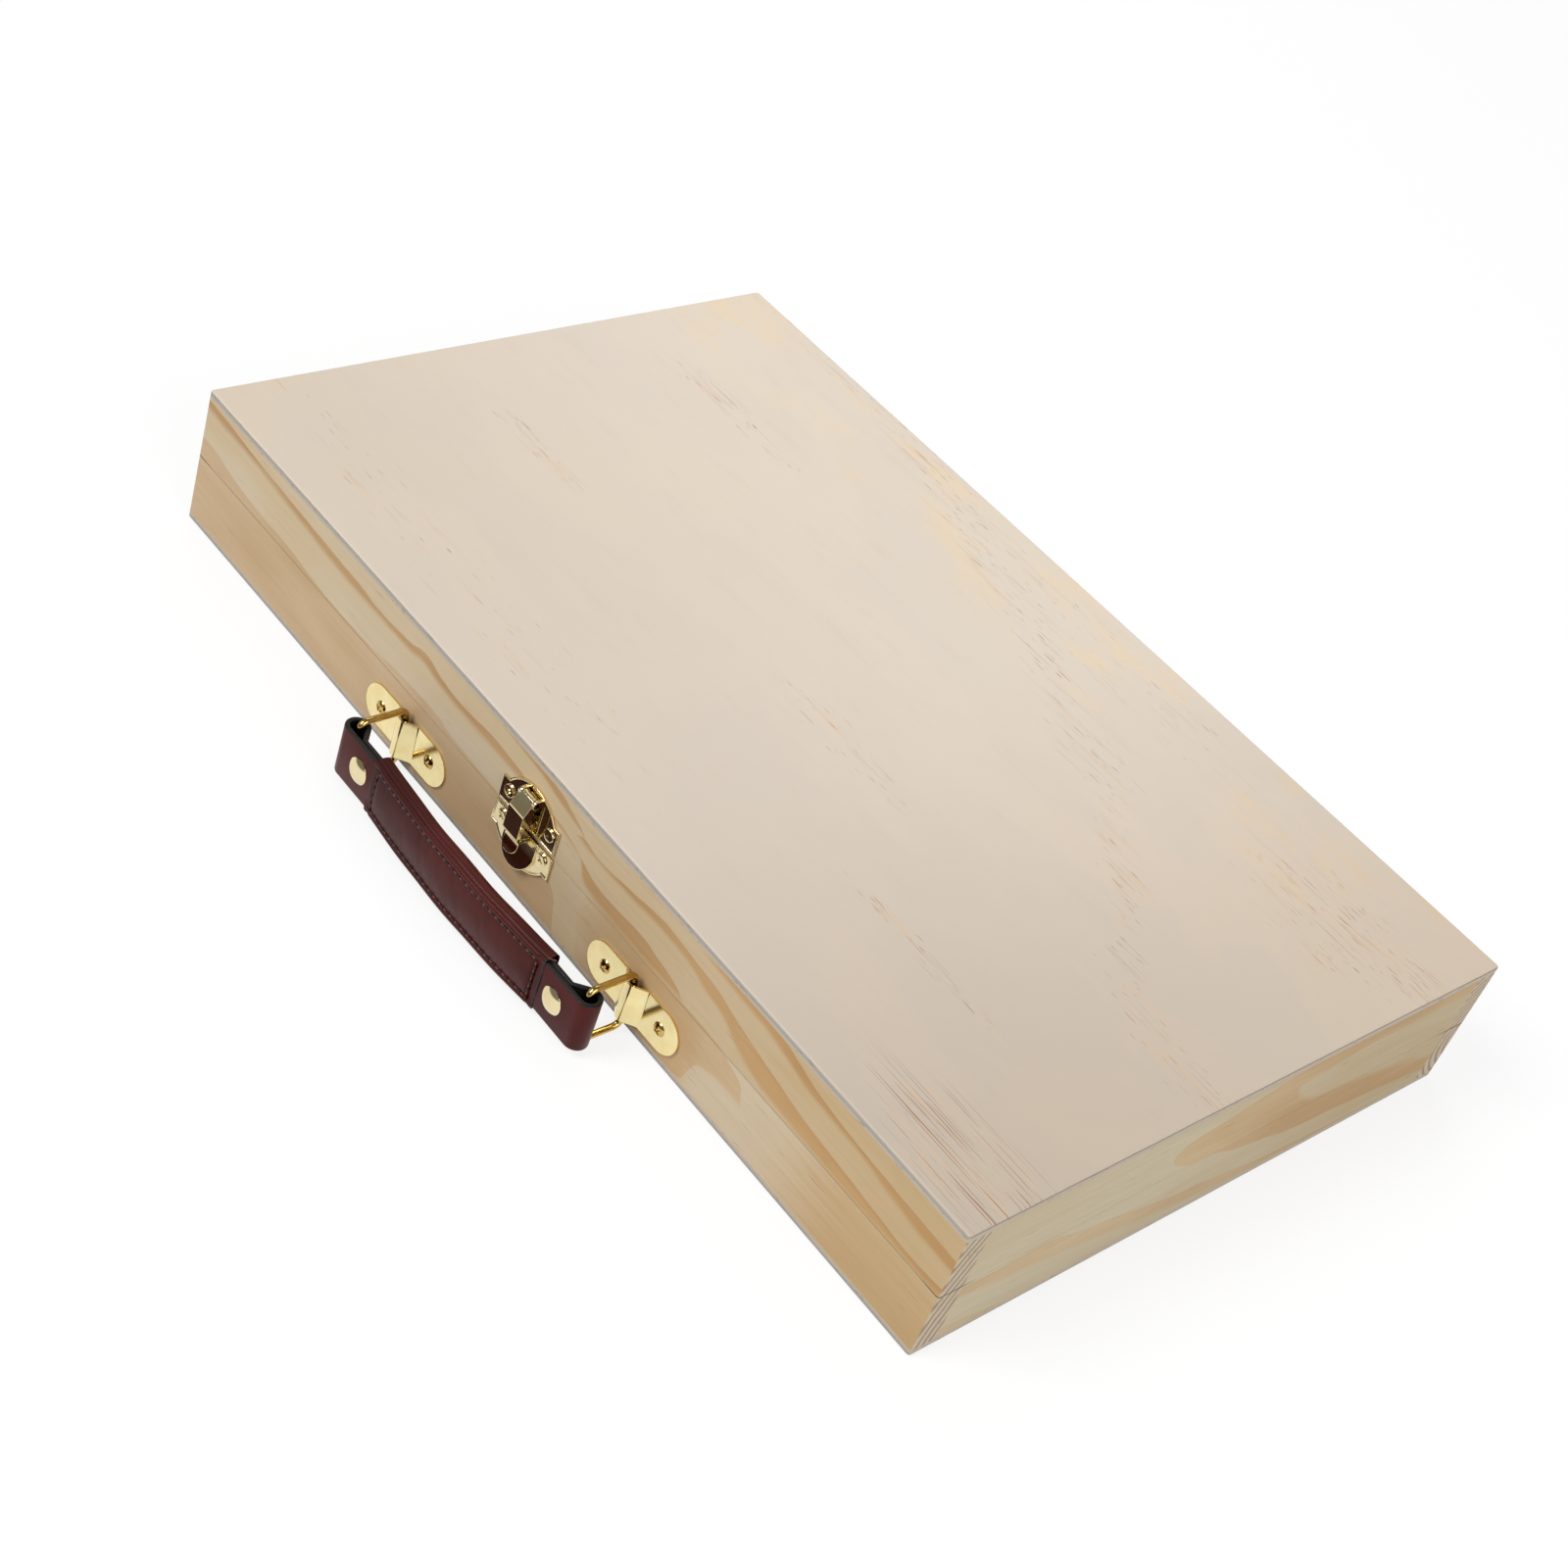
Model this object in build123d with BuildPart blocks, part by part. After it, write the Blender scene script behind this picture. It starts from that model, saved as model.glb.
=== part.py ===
from build123d import *
from math import atan2, cos, hypot, radians, sin, tan
import os

# Paint box: two equal wooden halves hinged along the back edge, with a sprung latch
# and a riveted leather handle on the front.
# Millimetres. X runs along the long side, the front face looks towards -Y, Z is up.
# The origin is the centre of the underside.

# Box shell
box_length = 370.0
box_width = 230.0
box_height = 50.0
seam_height = 25.0
panel_thickness = 2.5
board_thickness = 9.0
corner_round = 1.0
panel_round = 0.8
seam_ease = 0.2

# Dividers in the base
divider_thickness = 4.0
divider_height = 18.0
long_divider_y = -36.0
cross_divider_spacing = 118.0

# Screws: the holes are wider than the shanks by the clearance all round
hole_clearance = 0.05
screw_edge = 0.3
screw_point = 1.5
recess_slot = 0.6
recess_depth = 0.7

# Hinges on the back face
hinge_spacing = 230.0
hinge_length = 24.0
hinge_leaf_height = 11.0
hinge_leaf_thickness = 0.8
hinge_leaf_start = 0.5
barrel_radius = 1.8
barrel_clearance = 0.2
hinge_pin_radius = 0.8
knuckle_gap = 0.15
hinge_screw_spread = 16.0
hinge_screw_height = 7.5
hinge_screw_head_radius = 1.8
hinge_screw_head_height = 0.8
hinge_screw_radius = 0.9
hinge_screw_length = 7.0

# Latch plates, as seen from the front
latch_plate_thickness = 0.9
latch_plate_bevel = 0.5
lid_plate_half_width = 13.7
lid_plate_gap = 1.2
lid_plate_side = 8.7
lid_plate_arch_half = 11.2
lid_plate_arch_rise = 6.1
base_plate_half_width = 14.1
base_plate_gap = 0.1
base_plate_side = 8.0
base_plate_arch_half = 11.6
base_plate_arch_rise = 5.5
latch_screw_x = 9.9
lid_latch_screw_z = 31.2
base_latch_screw_z = 21.6
latch_screw_head_radius = 2.2
latch_screw_head_height = 1.1
latch_screw_radius = 1.1
latch_screw_length = 8.0

# Raised boss on the base plate, with the catch that the tongue snaps over
boss_radius = 7.25
boss_height = 2.3
boss_round = 0.6
catch_half_width = 2.0
catch_z = 21.2
catch_base = 1.4
catch_top = 0.7
catch_height = 0.8

# Latch tongue, at rest just off the catch
pivot_z = 37.8
pivot_standoff = 2.4
tongue_knuckle_radius = 1.3
tongue_knuckle_width = 5.2
tongue_width = 7.0
tongue_sheet = 0.8
tongue_height = 6.2
tongue_fold_z = 34.0
tongue_step_z = 26.6
tongue_cheek_standoff = 2.2
lip_width = 5.6
lip_start_z = 24.2
lip_end_z = 18.8
lip_standoff = 4.75
lip_flare = 0.5
nib_half_width = 1.6
nib_gap = 0.6
nib_depth = 1.0
nib_clearance = 0.25
latch_pin_radius = 0.7
latch_pin_clearance = 0.05
ear_radius = 1.5
ear_thickness = 1.2
ear_gap = 0.15
ear_clearance = 0.4

# Handle brackets: a strip of brass bent up over the ring's bar
bracket_spacing = 116.6
bracket_length = 42.0
bracket_width = 14.2
bracket_thickness = 0.8
bracket_height = 4.2
bracket_crown_half = 1.1
bracket_foot_half = 5.1
bracket_screw_spread = 26.0
bracket_screw_head_radius = 2.4
bracket_screw_head_height = 1.3
bracket_screw_radius = 1.2
bracket_screw_length = 8.5

# Wire rings: one bar in the bracket's tunnel, one in the strap's loop
ring_wire_radius = 1.1
ring_arm = 16.8
ring_bar_standoff = 2.0
ring_corner_radius = 2.8
ring_side_clearance = 0.3
handle_height = 11.8

# Leather strap, folded round the ring at each end and riveted to itself
strap_width = 18.0
strap_thickness = 1.6
loop_radius = 4.0
loop_reach = 0.6
loop_turn = 225.0
handle_bow = 2.0
tail_overlap = 3.5
rivet_inset = 8.6
rivet_cap_radius = 4.3
rivet_cap_height = 1.5
rivet_cap_edge = 0.3
rivet_shank_radius = 1.3
rivet_back_radius = 2.5
rivet_back_height = 0.7

# Padded grip stitched round the middle of the strap
grip_length = 87.0
grip_width = 20.0
grip_back_pad = 2.0
grip_front_pad = 1.5
grip_side_drop = 1.0
grip_edge_round = 1.2

half_length = box_length / 2
half_width = box_width / 2
base_interior_z = panel_thickness
lid_ceiling_z = box_height - panel_thickness
hinge_axis_y = half_width + barrel_radius + barrel_clearance

os.makedirs("parts", exist_ok=True)


def save(part, name):
    part.label = name
    export_step(part, f"parts/{name}.step")


def front_spots(points, standoff=0.0):
    """Locations on the front face, looking out of it, from (x, z) points."""
    return [Location((x, -half_width - standoff, z), (90, 0, 0)) for x, z in points]


def back_spots(points, standoff=0.0):
    """Locations on the back face, looking out of it, from (x, z) points."""
    return [Location((x, half_width + standoff, z), (-90, 0, 0)) for x, z in points]


def front_plane(standoff=0.0):
    """Sketch plane parallel to the front face: local x is X, local y is Z."""
    return Plane(origin=(0, -half_width - standoff, 0), x_dir=(1, 0, 0), z_dir=(0, -1, 0))


def out(standoff, z):
    """Point of a side-view sketch, from its distance in front of the front face."""
    return (-half_width - standoff, z)


# Screw positions, as (x, z)
hinge_centres = [-hinge_spacing / 2, hinge_spacing / 2]
hinge_screw_x = [c + s * hinge_screw_spread / 2 for c in hinge_centres for s in (-1, 1)]
lid_hinge_points = [(x, seam_height + hinge_screw_height) for x in hinge_screw_x]
base_hinge_points = [(x, seam_height - hinge_screw_height) for x in hinge_screw_x]
lid_latch_points = [(s * latch_screw_x, lid_latch_screw_z) for s in (-1, 1)]
base_latch_points = [(s * latch_screw_x, base_latch_screw_z) for s in (-1, 1)]
bracket_centres = [-bracket_spacing / 2, bracket_spacing / 2]
bracket_points = [
    (c + s * bracket_screw_spread / 2, handle_height) for c in bracket_centres for s in (-1, 1)
]


def long_board(name, side, z_low, z_high, pilots):
    """Front or back board, running the full length of the box."""
    with BuildPart() as board:
        with BuildSketch(Plane.XY.offset(z_low)):
            with Locations((0, side * (half_width - board_thickness / 2))):
                Rectangle(box_length, board_thickness)
        extrude(amount=z_high - z_low)
        outer = -1 if side > 0 else 0
        fillet(board.edges().filter_by(Axis.Z).group_by(Axis.Y)[outer], corner_round)
        seam_face = board.faces().sort_by(Axis.Z)[-1 if z_high == seam_height else 0]
        seam_edges = seam_face.edges().sort_by(Axis.Y)
        chamfer(seam_edges[1:] if side > 0 else seam_edges[:-1], seam_ease)
        for spots, radius, depth in pilots:
            with Locations(*spots):
                Hole(radius + hole_clearance, depth + hole_clearance)
    save(board.part, name)


def end_board(name, side, z_low, z_high):
    """End board, glued between the front and back boards."""
    with BuildPart() as board:
        with BuildSketch(Plane.XY.offset(z_low)):
            with Locations((side * (half_length - board_thickness / 2), 0)):
                Rectangle(board_thickness, box_width - 2 * board_thickness)
        extrude(amount=z_high - z_low)
        seam_face = board.faces().sort_by(Axis.Z)[-1 if z_high == seam_height else 0]
        seam_edges = seam_face.edges().filter_by(Axis.Y).sort_by(Axis.X)
        chamfer(seam_edges[-1 if side > 0 else 0], seam_ease)
    save(board.part, name)


def panel(name, z_low, outer_face):
    """Plywood sheet over one half, its outer edges rounded."""
    with BuildPart() as sheet:
        with BuildSketch(Plane.XY.offset(z_low)):
            Rectangle(box_length, box_width)
        extrude(amount=panel_thickness)
        fillet(sheet.edges().filter_by(Axis.Z), corner_round)
        fillet(sheet.faces().sort_by(Axis.Z)[outer_face].edges(), panel_round)
    save(sheet.part, name)


def divider(name, x_low, x_high, y_low, y_high):
    """Thin board standing on the floor of the base."""
    with BuildPart() as board:
        with BuildSketch(Plane.XY.offset(base_interior_z)):
            with Locations(((x_low + x_high) / 2, (y_low + y_high) / 2)):
                Rectangle(x_high - x_low, y_high - y_low)
        extrude(amount=divider_height)
    save(board.part, name)


def screws(name, spots, head_radius, head_height, shank_radius, shank_length):
    """Cross-recessed wood screws, one at each location, seated under the head."""
    with BuildPart() as screw:
        with BuildSketch(Plane.XZ):
            with BuildLine():
                Polyline(
                    (0, head_height),
                    (0, -shank_length),
                    (shank_radius, screw_point - shank_length),
                    (shank_radius, 0),
                    (head_radius, 0),
                    (head_radius, screw_edge),
                )
                TangentArc((0, head_height), (head_radius, screw_edge), tangent=(1, 0))
            make_face()
        revolve(axis=Axis.Z)
        with BuildSketch(Plane.XY.offset(head_height)):
            Rectangle(head_radius * 1.15, recess_slot)
            Rectangle(recess_slot, head_radius * 1.15)
        extrude(amount=-recess_depth, mode=Mode.SUBTRACT)
    with BuildPart() as group:
        with Locations(*spots):
            add(screw.part)
    save(group.part, name)


def hinge_leaf(name, centre, side):
    """Leaf on the back face with its share of the barrel: side 1 is the lid, -1 the base."""
    third = hinge_length / 3
    own = [0] if side > 0 else [-1, 1]
    other = [-1, 1] if side > 0 else [0]
    with BuildPart() as leaf:
        leaf_span = hinge_leaf_height - hinge_leaf_start
        with BuildSketch(Plane(origin=(0, half_width, 0), x_dir=(-1, 0, 0), z_dir=(0, 1, 0))):
            with Locations((-centre, seam_height + side * (hinge_leaf_start + leaf_span / 2))):
                Rectangle(hinge_length, leaf_span)
        extrude(amount=hinge_leaf_thickness)
        for slot in other:
            with BuildSketch(Plane.YZ.offset(centre + (slot - 0.5) * third - knuckle_gap)):
                with Locations((hinge_axis_y, seam_height)):
                    Circle(barrel_radius + 2 * barrel_clearance)
            extrude(amount=third + 2 * knuckle_gap, mode=Mode.SUBTRACT)
        for slot in own:
            with BuildSketch(Plane.YZ.offset(centre + (slot - 0.5) * third)):
                with Locations((hinge_axis_y, seam_height)):
                    Circle(barrel_radius)
            extrude(amount=third)
        for slot in own:
            with BuildSketch(Plane.YZ.offset(centre + (slot - 0.5) * third - knuckle_gap)):
                with Locations((hinge_axis_y, seam_height)):
                    Circle(hinge_pin_radius + hole_clearance)
            extrude(amount=third + 2 * knuckle_gap, mode=Mode.SUBTRACT)
        points = lid_hinge_points if side > 0 else base_hinge_points
        near = [p for p in points if abs(p[0] - centre) < hinge_length / 2]
        with Locations(*back_spots(near, hinge_leaf_thickness)):
            Hole(hinge_screw_radius + hole_clearance, hinge_leaf_thickness)
    save(leaf.part, name)


def hinge_pin(name, centre):
    """Pin through all three knuckles of one hinge."""
    with BuildPart() as pin:
        with BuildSketch(Plane.YZ.offset(centre - hinge_length / 2)):
            with Locations((hinge_axis_y, seam_height)):
                Circle(hinge_pin_radius)
        extrude(amount=hinge_length)
    save(pin.part, name)


def shield_points(half, flat_z, shoulder_z, arch_half):
    """Plate outline up to its arch: shoulder, upright side, straight edge and back up."""
    return [
        (-arch_half, shoulder_z),
        (-half, shoulder_z),
        (-half, flat_z),
        (half, flat_z),
        (half, shoulder_z),
        (arch_half, shoulder_z),
    ]


def latch_lid_plate():
    """Plate on the lid with the two ears that hold the tongue's pin."""
    flat_z = seam_height + lid_plate_gap
    shoulder_z = flat_z + lid_plate_side
    sides = shield_points(lid_plate_half_width, flat_z, shoulder_z, lid_plate_arch_half)
    with BuildPart() as plate:
        with BuildSketch(front_plane()):
            with BuildLine():
                Polyline(*sides)
                ThreePointArc(sides[-1], (0, shoulder_z + lid_plate_arch_rise), sides[0])
            make_face()
        extrude(amount=latch_plate_thickness)
        chamfer(plate.faces().sort_by(Axis.Y)[0].edges(), latch_plate_bevel)
        inner = tongue_knuckle_width / 2 + ear_gap
        for x in (-inner - ear_thickness, inner):
            with BuildSketch(Plane.YZ.offset(x)):
                with Locations(out(pivot_standoff, pivot_z)):
                    Circle(ear_radius)
                with Locations(out(pivot_standoff / 2, pivot_z)):
                    Rectangle(pivot_standoff, 2 * ear_radius)
            extrude(amount=ear_thickness)
        with BuildSketch(Plane.YZ.offset(-inner - ear_thickness)):
            with Locations(out(pivot_standoff, pivot_z)):
                Circle(latch_pin_radius + hole_clearance)
        extrude(amount=2 * (inner + ear_thickness), mode=Mode.SUBTRACT)
        with Locations(*front_spots(lid_latch_points, latch_plate_thickness)):
            Hole(latch_screw_radius + hole_clearance, latch_plate_thickness)
    save(plate.part, "latch_lid_plate")


def latch_pin():
    """Pin through the ears and the tongue's knuckle."""
    half = tongue_knuckle_width / 2 + ear_gap + ear_thickness
    with BuildPart() as pin:
        with BuildSketch(Plane.YZ.offset(-half)):
            with Locations(out(pivot_standoff, pivot_z)):
                Circle(latch_pin_radius)
        extrude(amount=2 * half)
    save(pin.part, "latch_pin")


def latch_base_plate():
    """Plate on the base with its raised boss and the catch on it."""
    flat_z = seam_height - base_plate_gap
    shoulder_z = flat_z - base_plate_side
    crown_z = shoulder_z - base_plate_arch_rise
    boss_centre_z = crown_z + boss_radius
    sides = shield_points(base_plate_half_width, flat_z, shoulder_z, base_plate_arch_half)
    with BuildPart() as plate:
        with BuildSketch(front_plane()):
            with BuildLine():
                Polyline(*sides)
                ThreePointArc(sides[-1], (0, crown_z), sides[0])
            make_face()
        extrude(amount=latch_plate_thickness)
        chamfer(plate.faces().sort_by(Axis.Y)[0].edges(), latch_plate_bevel)
        with BuildSketch(front_plane()):
            with Locations((0, boss_centre_z)):
                Circle(boss_radius)
            with Locations((0, (boss_centre_z + flat_z) / 2)):
                Rectangle(2 * boss_radius, flat_z - boss_centre_z)
        extrude(amount=boss_height)
        fillet(plate.faces().sort_by(Axis.Y)[0].edges(), boss_round)
        with BuildSketch(Plane.YZ.offset(-catch_half_width)):
            with BuildLine():
                Polyline(
                    out(boss_height - boss_round, catch_z),
                    out(boss_height + catch_height, catch_z),
                    out(boss_height + catch_height, catch_z + catch_top),
                    out(boss_height, catch_z + catch_base),
                    out(boss_height - boss_round, catch_z + catch_base),
                    close=True,
                )
            make_face()
        extrude(amount=2 * catch_half_width)
        with Locations(*front_spots(base_latch_points, latch_plate_thickness)):
            Hole(latch_screw_radius + hole_clearance, latch_plate_thickness)
    save(plate.part, "latch_base_plate")


def latch_tongue():
    """Pressed tongue: knuckle, two facets with cheeks, and a rounded thumb lip."""
    half = tongue_width / 2
    knuckle_half = tongue_knuckle_width / 2
    lip_half = lip_width / 2
    front = [
        (pivot_standoff + tongue_knuckle_radius * 0.8, pivot_z + tongue_knuckle_radius * 0.6),
        (tongue_height, tongue_fold_z),
        (tongue_height, tongue_step_z),
        (lip_standoff, lip_start_z),
        (lip_standoff, (lip_start_z + lip_end_z) / 2),
        (lip_standoff + lip_flare, lip_end_z),
    ]
    nib_top = catch_z - nib_gap
    nib_tip = boss_height + catch_height + nib_clearance
    with BuildPart() as tongue:
        with BuildSketch(Plane.YZ.offset(-half)):
            with BuildLine():
                FilletPolyline(*[out(*point) for point in front], radius=tongue_sheet)
                offset(amount=tongue_sheet, side=Side.LEFT)
            make_face()
        extrude(amount=tongue_width)
        for x in (-half, half - tongue_sheet):
            with BuildSketch(Plane.YZ.offset(x)):
                with BuildLine():
                    Polyline(
                        out(tongue_height - tongue_sheet / 2, tongue_fold_z),
                        out(tongue_height - tongue_sheet / 2, tongue_step_z),
                        out(tongue_cheek_standoff, tongue_step_z - tongue_sheet),
                        out(tongue_cheek_standoff, pivot_z - ear_radius),
                        out(pivot_standoff, pivot_z),
                        close=True,
                    )
                make_face()
                with Locations(out(pivot_standoff, pivot_z)):
                    Circle(ear_radius + ear_clearance, mode=Mode.SUBTRACT)
            extrude(amount=tongue_sheet)
        with BuildSketch(front_plane()):
            with BuildLine():
                Polyline(
                    (-lip_half, lip_end_z + lip_half),
                    (-lip_half, lip_start_z),
                    (-half, tongue_step_z - tongue_sheet),
                    (-half, tongue_fold_z),
                    (-knuckle_half, pivot_z - ear_radius),
                    (-knuckle_half, pivot_z + 2 * ear_radius),
                    (knuckle_half, pivot_z + 2 * ear_radius),
                    (knuckle_half, pivot_z - ear_radius),
                    (half, tongue_fold_z),
                    (half, tongue_step_z - tongue_sheet),
                    (lip_half, lip_start_z),
                    (lip_half, lip_end_z + lip_half),
                )
                ThreePointArc(
                    (lip_half, lip_end_z + lip_half),
                    (0, lip_end_z),
                    (-lip_half, lip_end_z + lip_half),
                )
            make_face()
        extrude(amount=2 * tongue_height, mode=Mode.INTERSECT)
        with BuildSketch(Plane.YZ.offset(-knuckle_half)):
            with Locations(out(pivot_standoff, pivot_z)):
                Circle(tongue_knuckle_radius)
        extrude(amount=tongue_knuckle_width)
        with BuildSketch(Plane.YZ.offset(-nib_half_width)):
            with Locations(out((nib_tip + lip_standoff - tongue_sheet / 2) / 2, nib_top - nib_depth / 2)):
                Rectangle(lip_standoff - tongue_sheet / 2 - nib_tip, nib_depth)
        extrude(amount=2 * nib_half_width)
        with BuildSketch(Plane.YZ.offset(-half)):
            with Locations(out(pivot_standoff, pivot_z)):
                Circle(latch_pin_radius + latch_pin_clearance)
        extrude(amount=tongue_width, mode=Mode.SUBTRACT)
    save(tongue.part, "latch_tongue")


def handle_bracket(name, centre):
    """Brass strip with rounded ends, bent up in the middle into a tunnel along Z."""
    rise = bracket_height - bracket_thickness
    ramp = atan2(rise, bracket_foot_half - bracket_crown_half)
    mitre = bracket_thickness * tan(ramp / 2)
    half = bracket_length / 2
    outer = [
        (half, bracket_thickness),
        (bracket_foot_half, bracket_thickness),
        (bracket_crown_half, bracket_height),
    ]
    under = [
        (bracket_crown_half - mitre, rise),
        (bracket_foot_half - mitre, 0),
        (half, 0),
    ]
    loop = (
        [(-x, h) for x, h in outer]
        + outer[::-1]
        + [(x, h) for x, h in reversed(under)]
        + [(-x, h) for x, h in under]
    )
    with BuildPart() as bracket:
        with BuildSketch(Plane.XY.offset(handle_height - bracket_width / 2)):
            with BuildLine():
                Polyline(*[(centre + x, -half_width - h) for x, h in loop], close=True)
            make_face()
        extrude(amount=bracket_width)
        with BuildSketch(front_plane()):
            with Locations((centre, handle_height)):
                SlotOverall(bracket_length, bracket_width)
        extrude(amount=bracket_height, mode=Mode.INTERSECT)
        near = [p for p in bracket_points if abs(p[0] - centre) < bracket_length / 2]
        with Locations(*front_spots(near, bracket_thickness)):
            Hole(bracket_screw_radius + hole_clearance, bracket_thickness)
    save(bracket.part, name)


ring_half_height = strap_width / 2 + ring_side_clearance + ring_wire_radius
bar_y = -half_width - ring_bar_standoff
grip_bar_y = bar_y - ring_arm


def wire_ring(name, centre):
    """Rounded rectangle of wire standing square to the front face."""
    corners = [
        (bar_y, handle_height - ring_half_height),
        (bar_y, handle_height + ring_half_height),
        (grip_bar_y, handle_height + ring_half_height),
        (grip_bar_y, handle_height - ring_half_height),
    ]
    with BuildPart() as ring:
        with BuildLine(Plane.YZ.offset(centre)) as path:
            FilletPolyline(*corners, radius=ring_corner_radius, close=True)
        with BuildSketch(Plane(origin=path.line @ 0, z_dir=path.line % 0)):
            Circle(ring_wire_radius)
        sweep()
    save(ring.part, name)


# Strap surfaces: y_front faces away from the box, y_back towards it
y_front = grip_bar_y - loop_radius
y_inner = y_front + strap_thickness
y_back = y_inner + strap_thickness
loop_x = bracket_spacing / 2 + loop_reach
rivet_x = bracket_spacing / 2 - rivet_inset
tail_x = grip_length / 2 - tail_overlap
strap_low = handle_height - strap_width / 2


def strap():
    """One folded strap: bowed middle, straight ends, and a loop round each ring."""
    heading = radians(loop_turn)
    with BuildPart() as body:
        with BuildSketch(Plane.XY.offset(strap_low)):
            with BuildLine():
                bow = ThreePointArc((-tail_x, y_front), (0, y_front - handle_bow), (tail_x, y_front))
                inner_bow = ThreePointArc(
                    (tail_x, y_inner), (0, y_inner - handle_bow), (-tail_x, y_inner)
                )
                Line(bow @ 1, inner_bow @ 0)
                Line(inner_bow @ 1, bow @ 0)
            make_face()
            with BuildLine():
                top = Line((tail_x, y_front), (loop_x, y_front))
                fold = CenterArc((loop_x, grip_bar_y), loop_radius, -90, loop_turn)
                run = (y_back - (fold @ 1).Y) / sin(heading)
                slope = Line(fold @ 1, ((fold @ 1).X + run * cos(heading), y_back))
                tail = Line(slope @ 1, (tail_x, y_back))
                Line(tail @ 1, top @ 0)
            make_face()
            with BuildLine():
                fold = CenterArc((loop_x, grip_bar_y), loop_radius - strap_thickness, -90, loop_turn)
                run = (y_inner - (fold @ 1).Y) / sin(heading)
                slope = Line(fold @ 1, ((fold @ 1).X + run * cos(heading), y_inner))
                Line(slope @ 1, fold @ 0)
            make_face(mode=Mode.SUBTRACT)
            mirror(about=Plane.YZ)
        extrude(amount=strap_width)
        for side in (-1, 1):
            with BuildSketch(Plane.XZ.offset(-y_back)):
                with Locations((side * rivet_x, handle_height)):
                    Circle(rivet_shank_radius + hole_clearance)
            extrude(amount=2 * strap_thickness, mode=Mode.SUBTRACT)
    save(body.part, "handle_strap")
    return body.part


def rivet(name, x):
    """Domed cap on the front of the strap, a shank and a flat clinched head behind."""
    with BuildPart() as stud:
        with BuildSketch(Plane.XY.offset(handle_height)):
            with BuildLine():
                Polyline(
                    (x, y_front - rivet_cap_height),
                    (x, y_back + rivet_back_height),
                    (x + rivet_back_radius, y_back + rivet_back_height),
                    (x + rivet_back_radius, y_back),
                    (x + rivet_shank_radius, y_back),
                    (x + rivet_shank_radius, y_front),
                    (x + rivet_cap_radius, y_front),
                    (x + rivet_cap_radius, y_front - rivet_cap_edge),
                )
                TangentArc(
                    (x, y_front - rivet_cap_height),
                    (x + rivet_cap_radius, y_front - rivet_cap_edge),
                    tangent=(1, 0),
                )
            make_face()
        revolve(axis=Axis((x, 0, handle_height), (0, 1, 0)))
    save(stud.part, name)


def grip(strap_part):
    """Crowned leather wrap, bowed with the strap that runs through it."""
    spine_y = (y_front + y_back) / 2
    back = grip_back_pad + strap_thickness
    front = grip_front_pad + strap_thickness
    half = grip_width / 2
    with BuildPart() as wrap:
        with BuildLine(Plane.XY.offset(handle_height)) as path:
            ThreePointArc(
                (-grip_length / 2, spine_y), (0, spine_y - handle_bow), (grip_length / 2, spine_y)
            )
        with BuildSketch(Plane(origin=path.line @ 0, x_dir=(0, 0, 1), z_dir=path.line % 0)) as section:
            with BuildLine():
                Polyline(
                    (-half, front - grip_side_drop),
                    (-half, -back),
                    (half, -back),
                    (half, front - grip_side_drop),
                )
                ThreePointArc(
                    (half, front - grip_side_drop), (0, front), (-half, front - grip_side_drop)
                )
            make_face()
            fillet(section.vertices(), grip_edge_round)
        sweep()
        add(strap_part, mode=Mode.SUBTRACT)
    save(wrap.part, "handle_grip")


latch_depth = latch_screw_length - latch_plate_thickness
hinge_depth = hinge_screw_length - hinge_leaf_thickness
bracket_depth = bracket_screw_length - bracket_thickness
lid_latch_pilots = (front_spots(lid_latch_points), latch_screw_radius, latch_depth)
base_latch_pilots = (front_spots(base_latch_points), latch_screw_radius, latch_depth)
bracket_pilots = (front_spots(bracket_points), bracket_screw_radius, bracket_depth)
lid_hinge_pilots = (back_spots(lid_hinge_points), hinge_screw_radius, hinge_depth)
base_hinge_pilots = (back_spots(base_hinge_points), hinge_screw_radius, hinge_depth)

# Base half
panel("base_panel", 0, 0)
long_board("base_front_board", -1, panel_thickness, seam_height, [base_latch_pilots, bracket_pilots])
long_board("base_back_board", 1, panel_thickness, seam_height, [base_hinge_pilots])
end_board("base_left_board", -1, panel_thickness, seam_height)
end_board("base_right_board", 1, panel_thickness, seam_height)

# Lid half
panel("lid_panel", lid_ceiling_z, -1)
long_board("lid_front_board", -1, seam_height, lid_ceiling_z, [lid_latch_pilots])
long_board("lid_back_board", 1, seam_height, lid_ceiling_z, [lid_hinge_pilots])
end_board("lid_left_board", -1, seam_height, lid_ceiling_z)
end_board("lid_right_board", 1, seam_height, lid_ceiling_z)

# Dividers
inner_x = half_length - board_thickness
inner_y = half_width - board_thickness
divider_back = long_divider_y + divider_thickness / 2
divider("long_divider", -inner_x, inner_x, long_divider_y - divider_thickness / 2, divider_back)
for word, side in (("left", -1), ("right", 1)):
    x = side * cross_divider_spacing / 2
    divider(
        f"{word}_cross_divider",
        x - divider_thickness / 2,
        x + divider_thickness / 2,
        divider_back,
        inner_y,
    )

# Hinges
for word, centre in zip(("left", "right"), hinge_centres):
    hinge_leaf(f"{word}_hinge_lid_leaf", centre, 1)
    hinge_leaf(f"{word}_hinge_base_leaf", centre, -1)
    hinge_pin(f"{word}_hinge_pin", centre)
for name, points in (("lid_hinge_screws", lid_hinge_points), ("base_hinge_screws", base_hinge_points)):
    screws(
        name,
        back_spots(points, hinge_leaf_thickness),
        hinge_screw_head_radius,
        hinge_screw_head_height,
        hinge_screw_radius,
        hinge_screw_length,
    )

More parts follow.
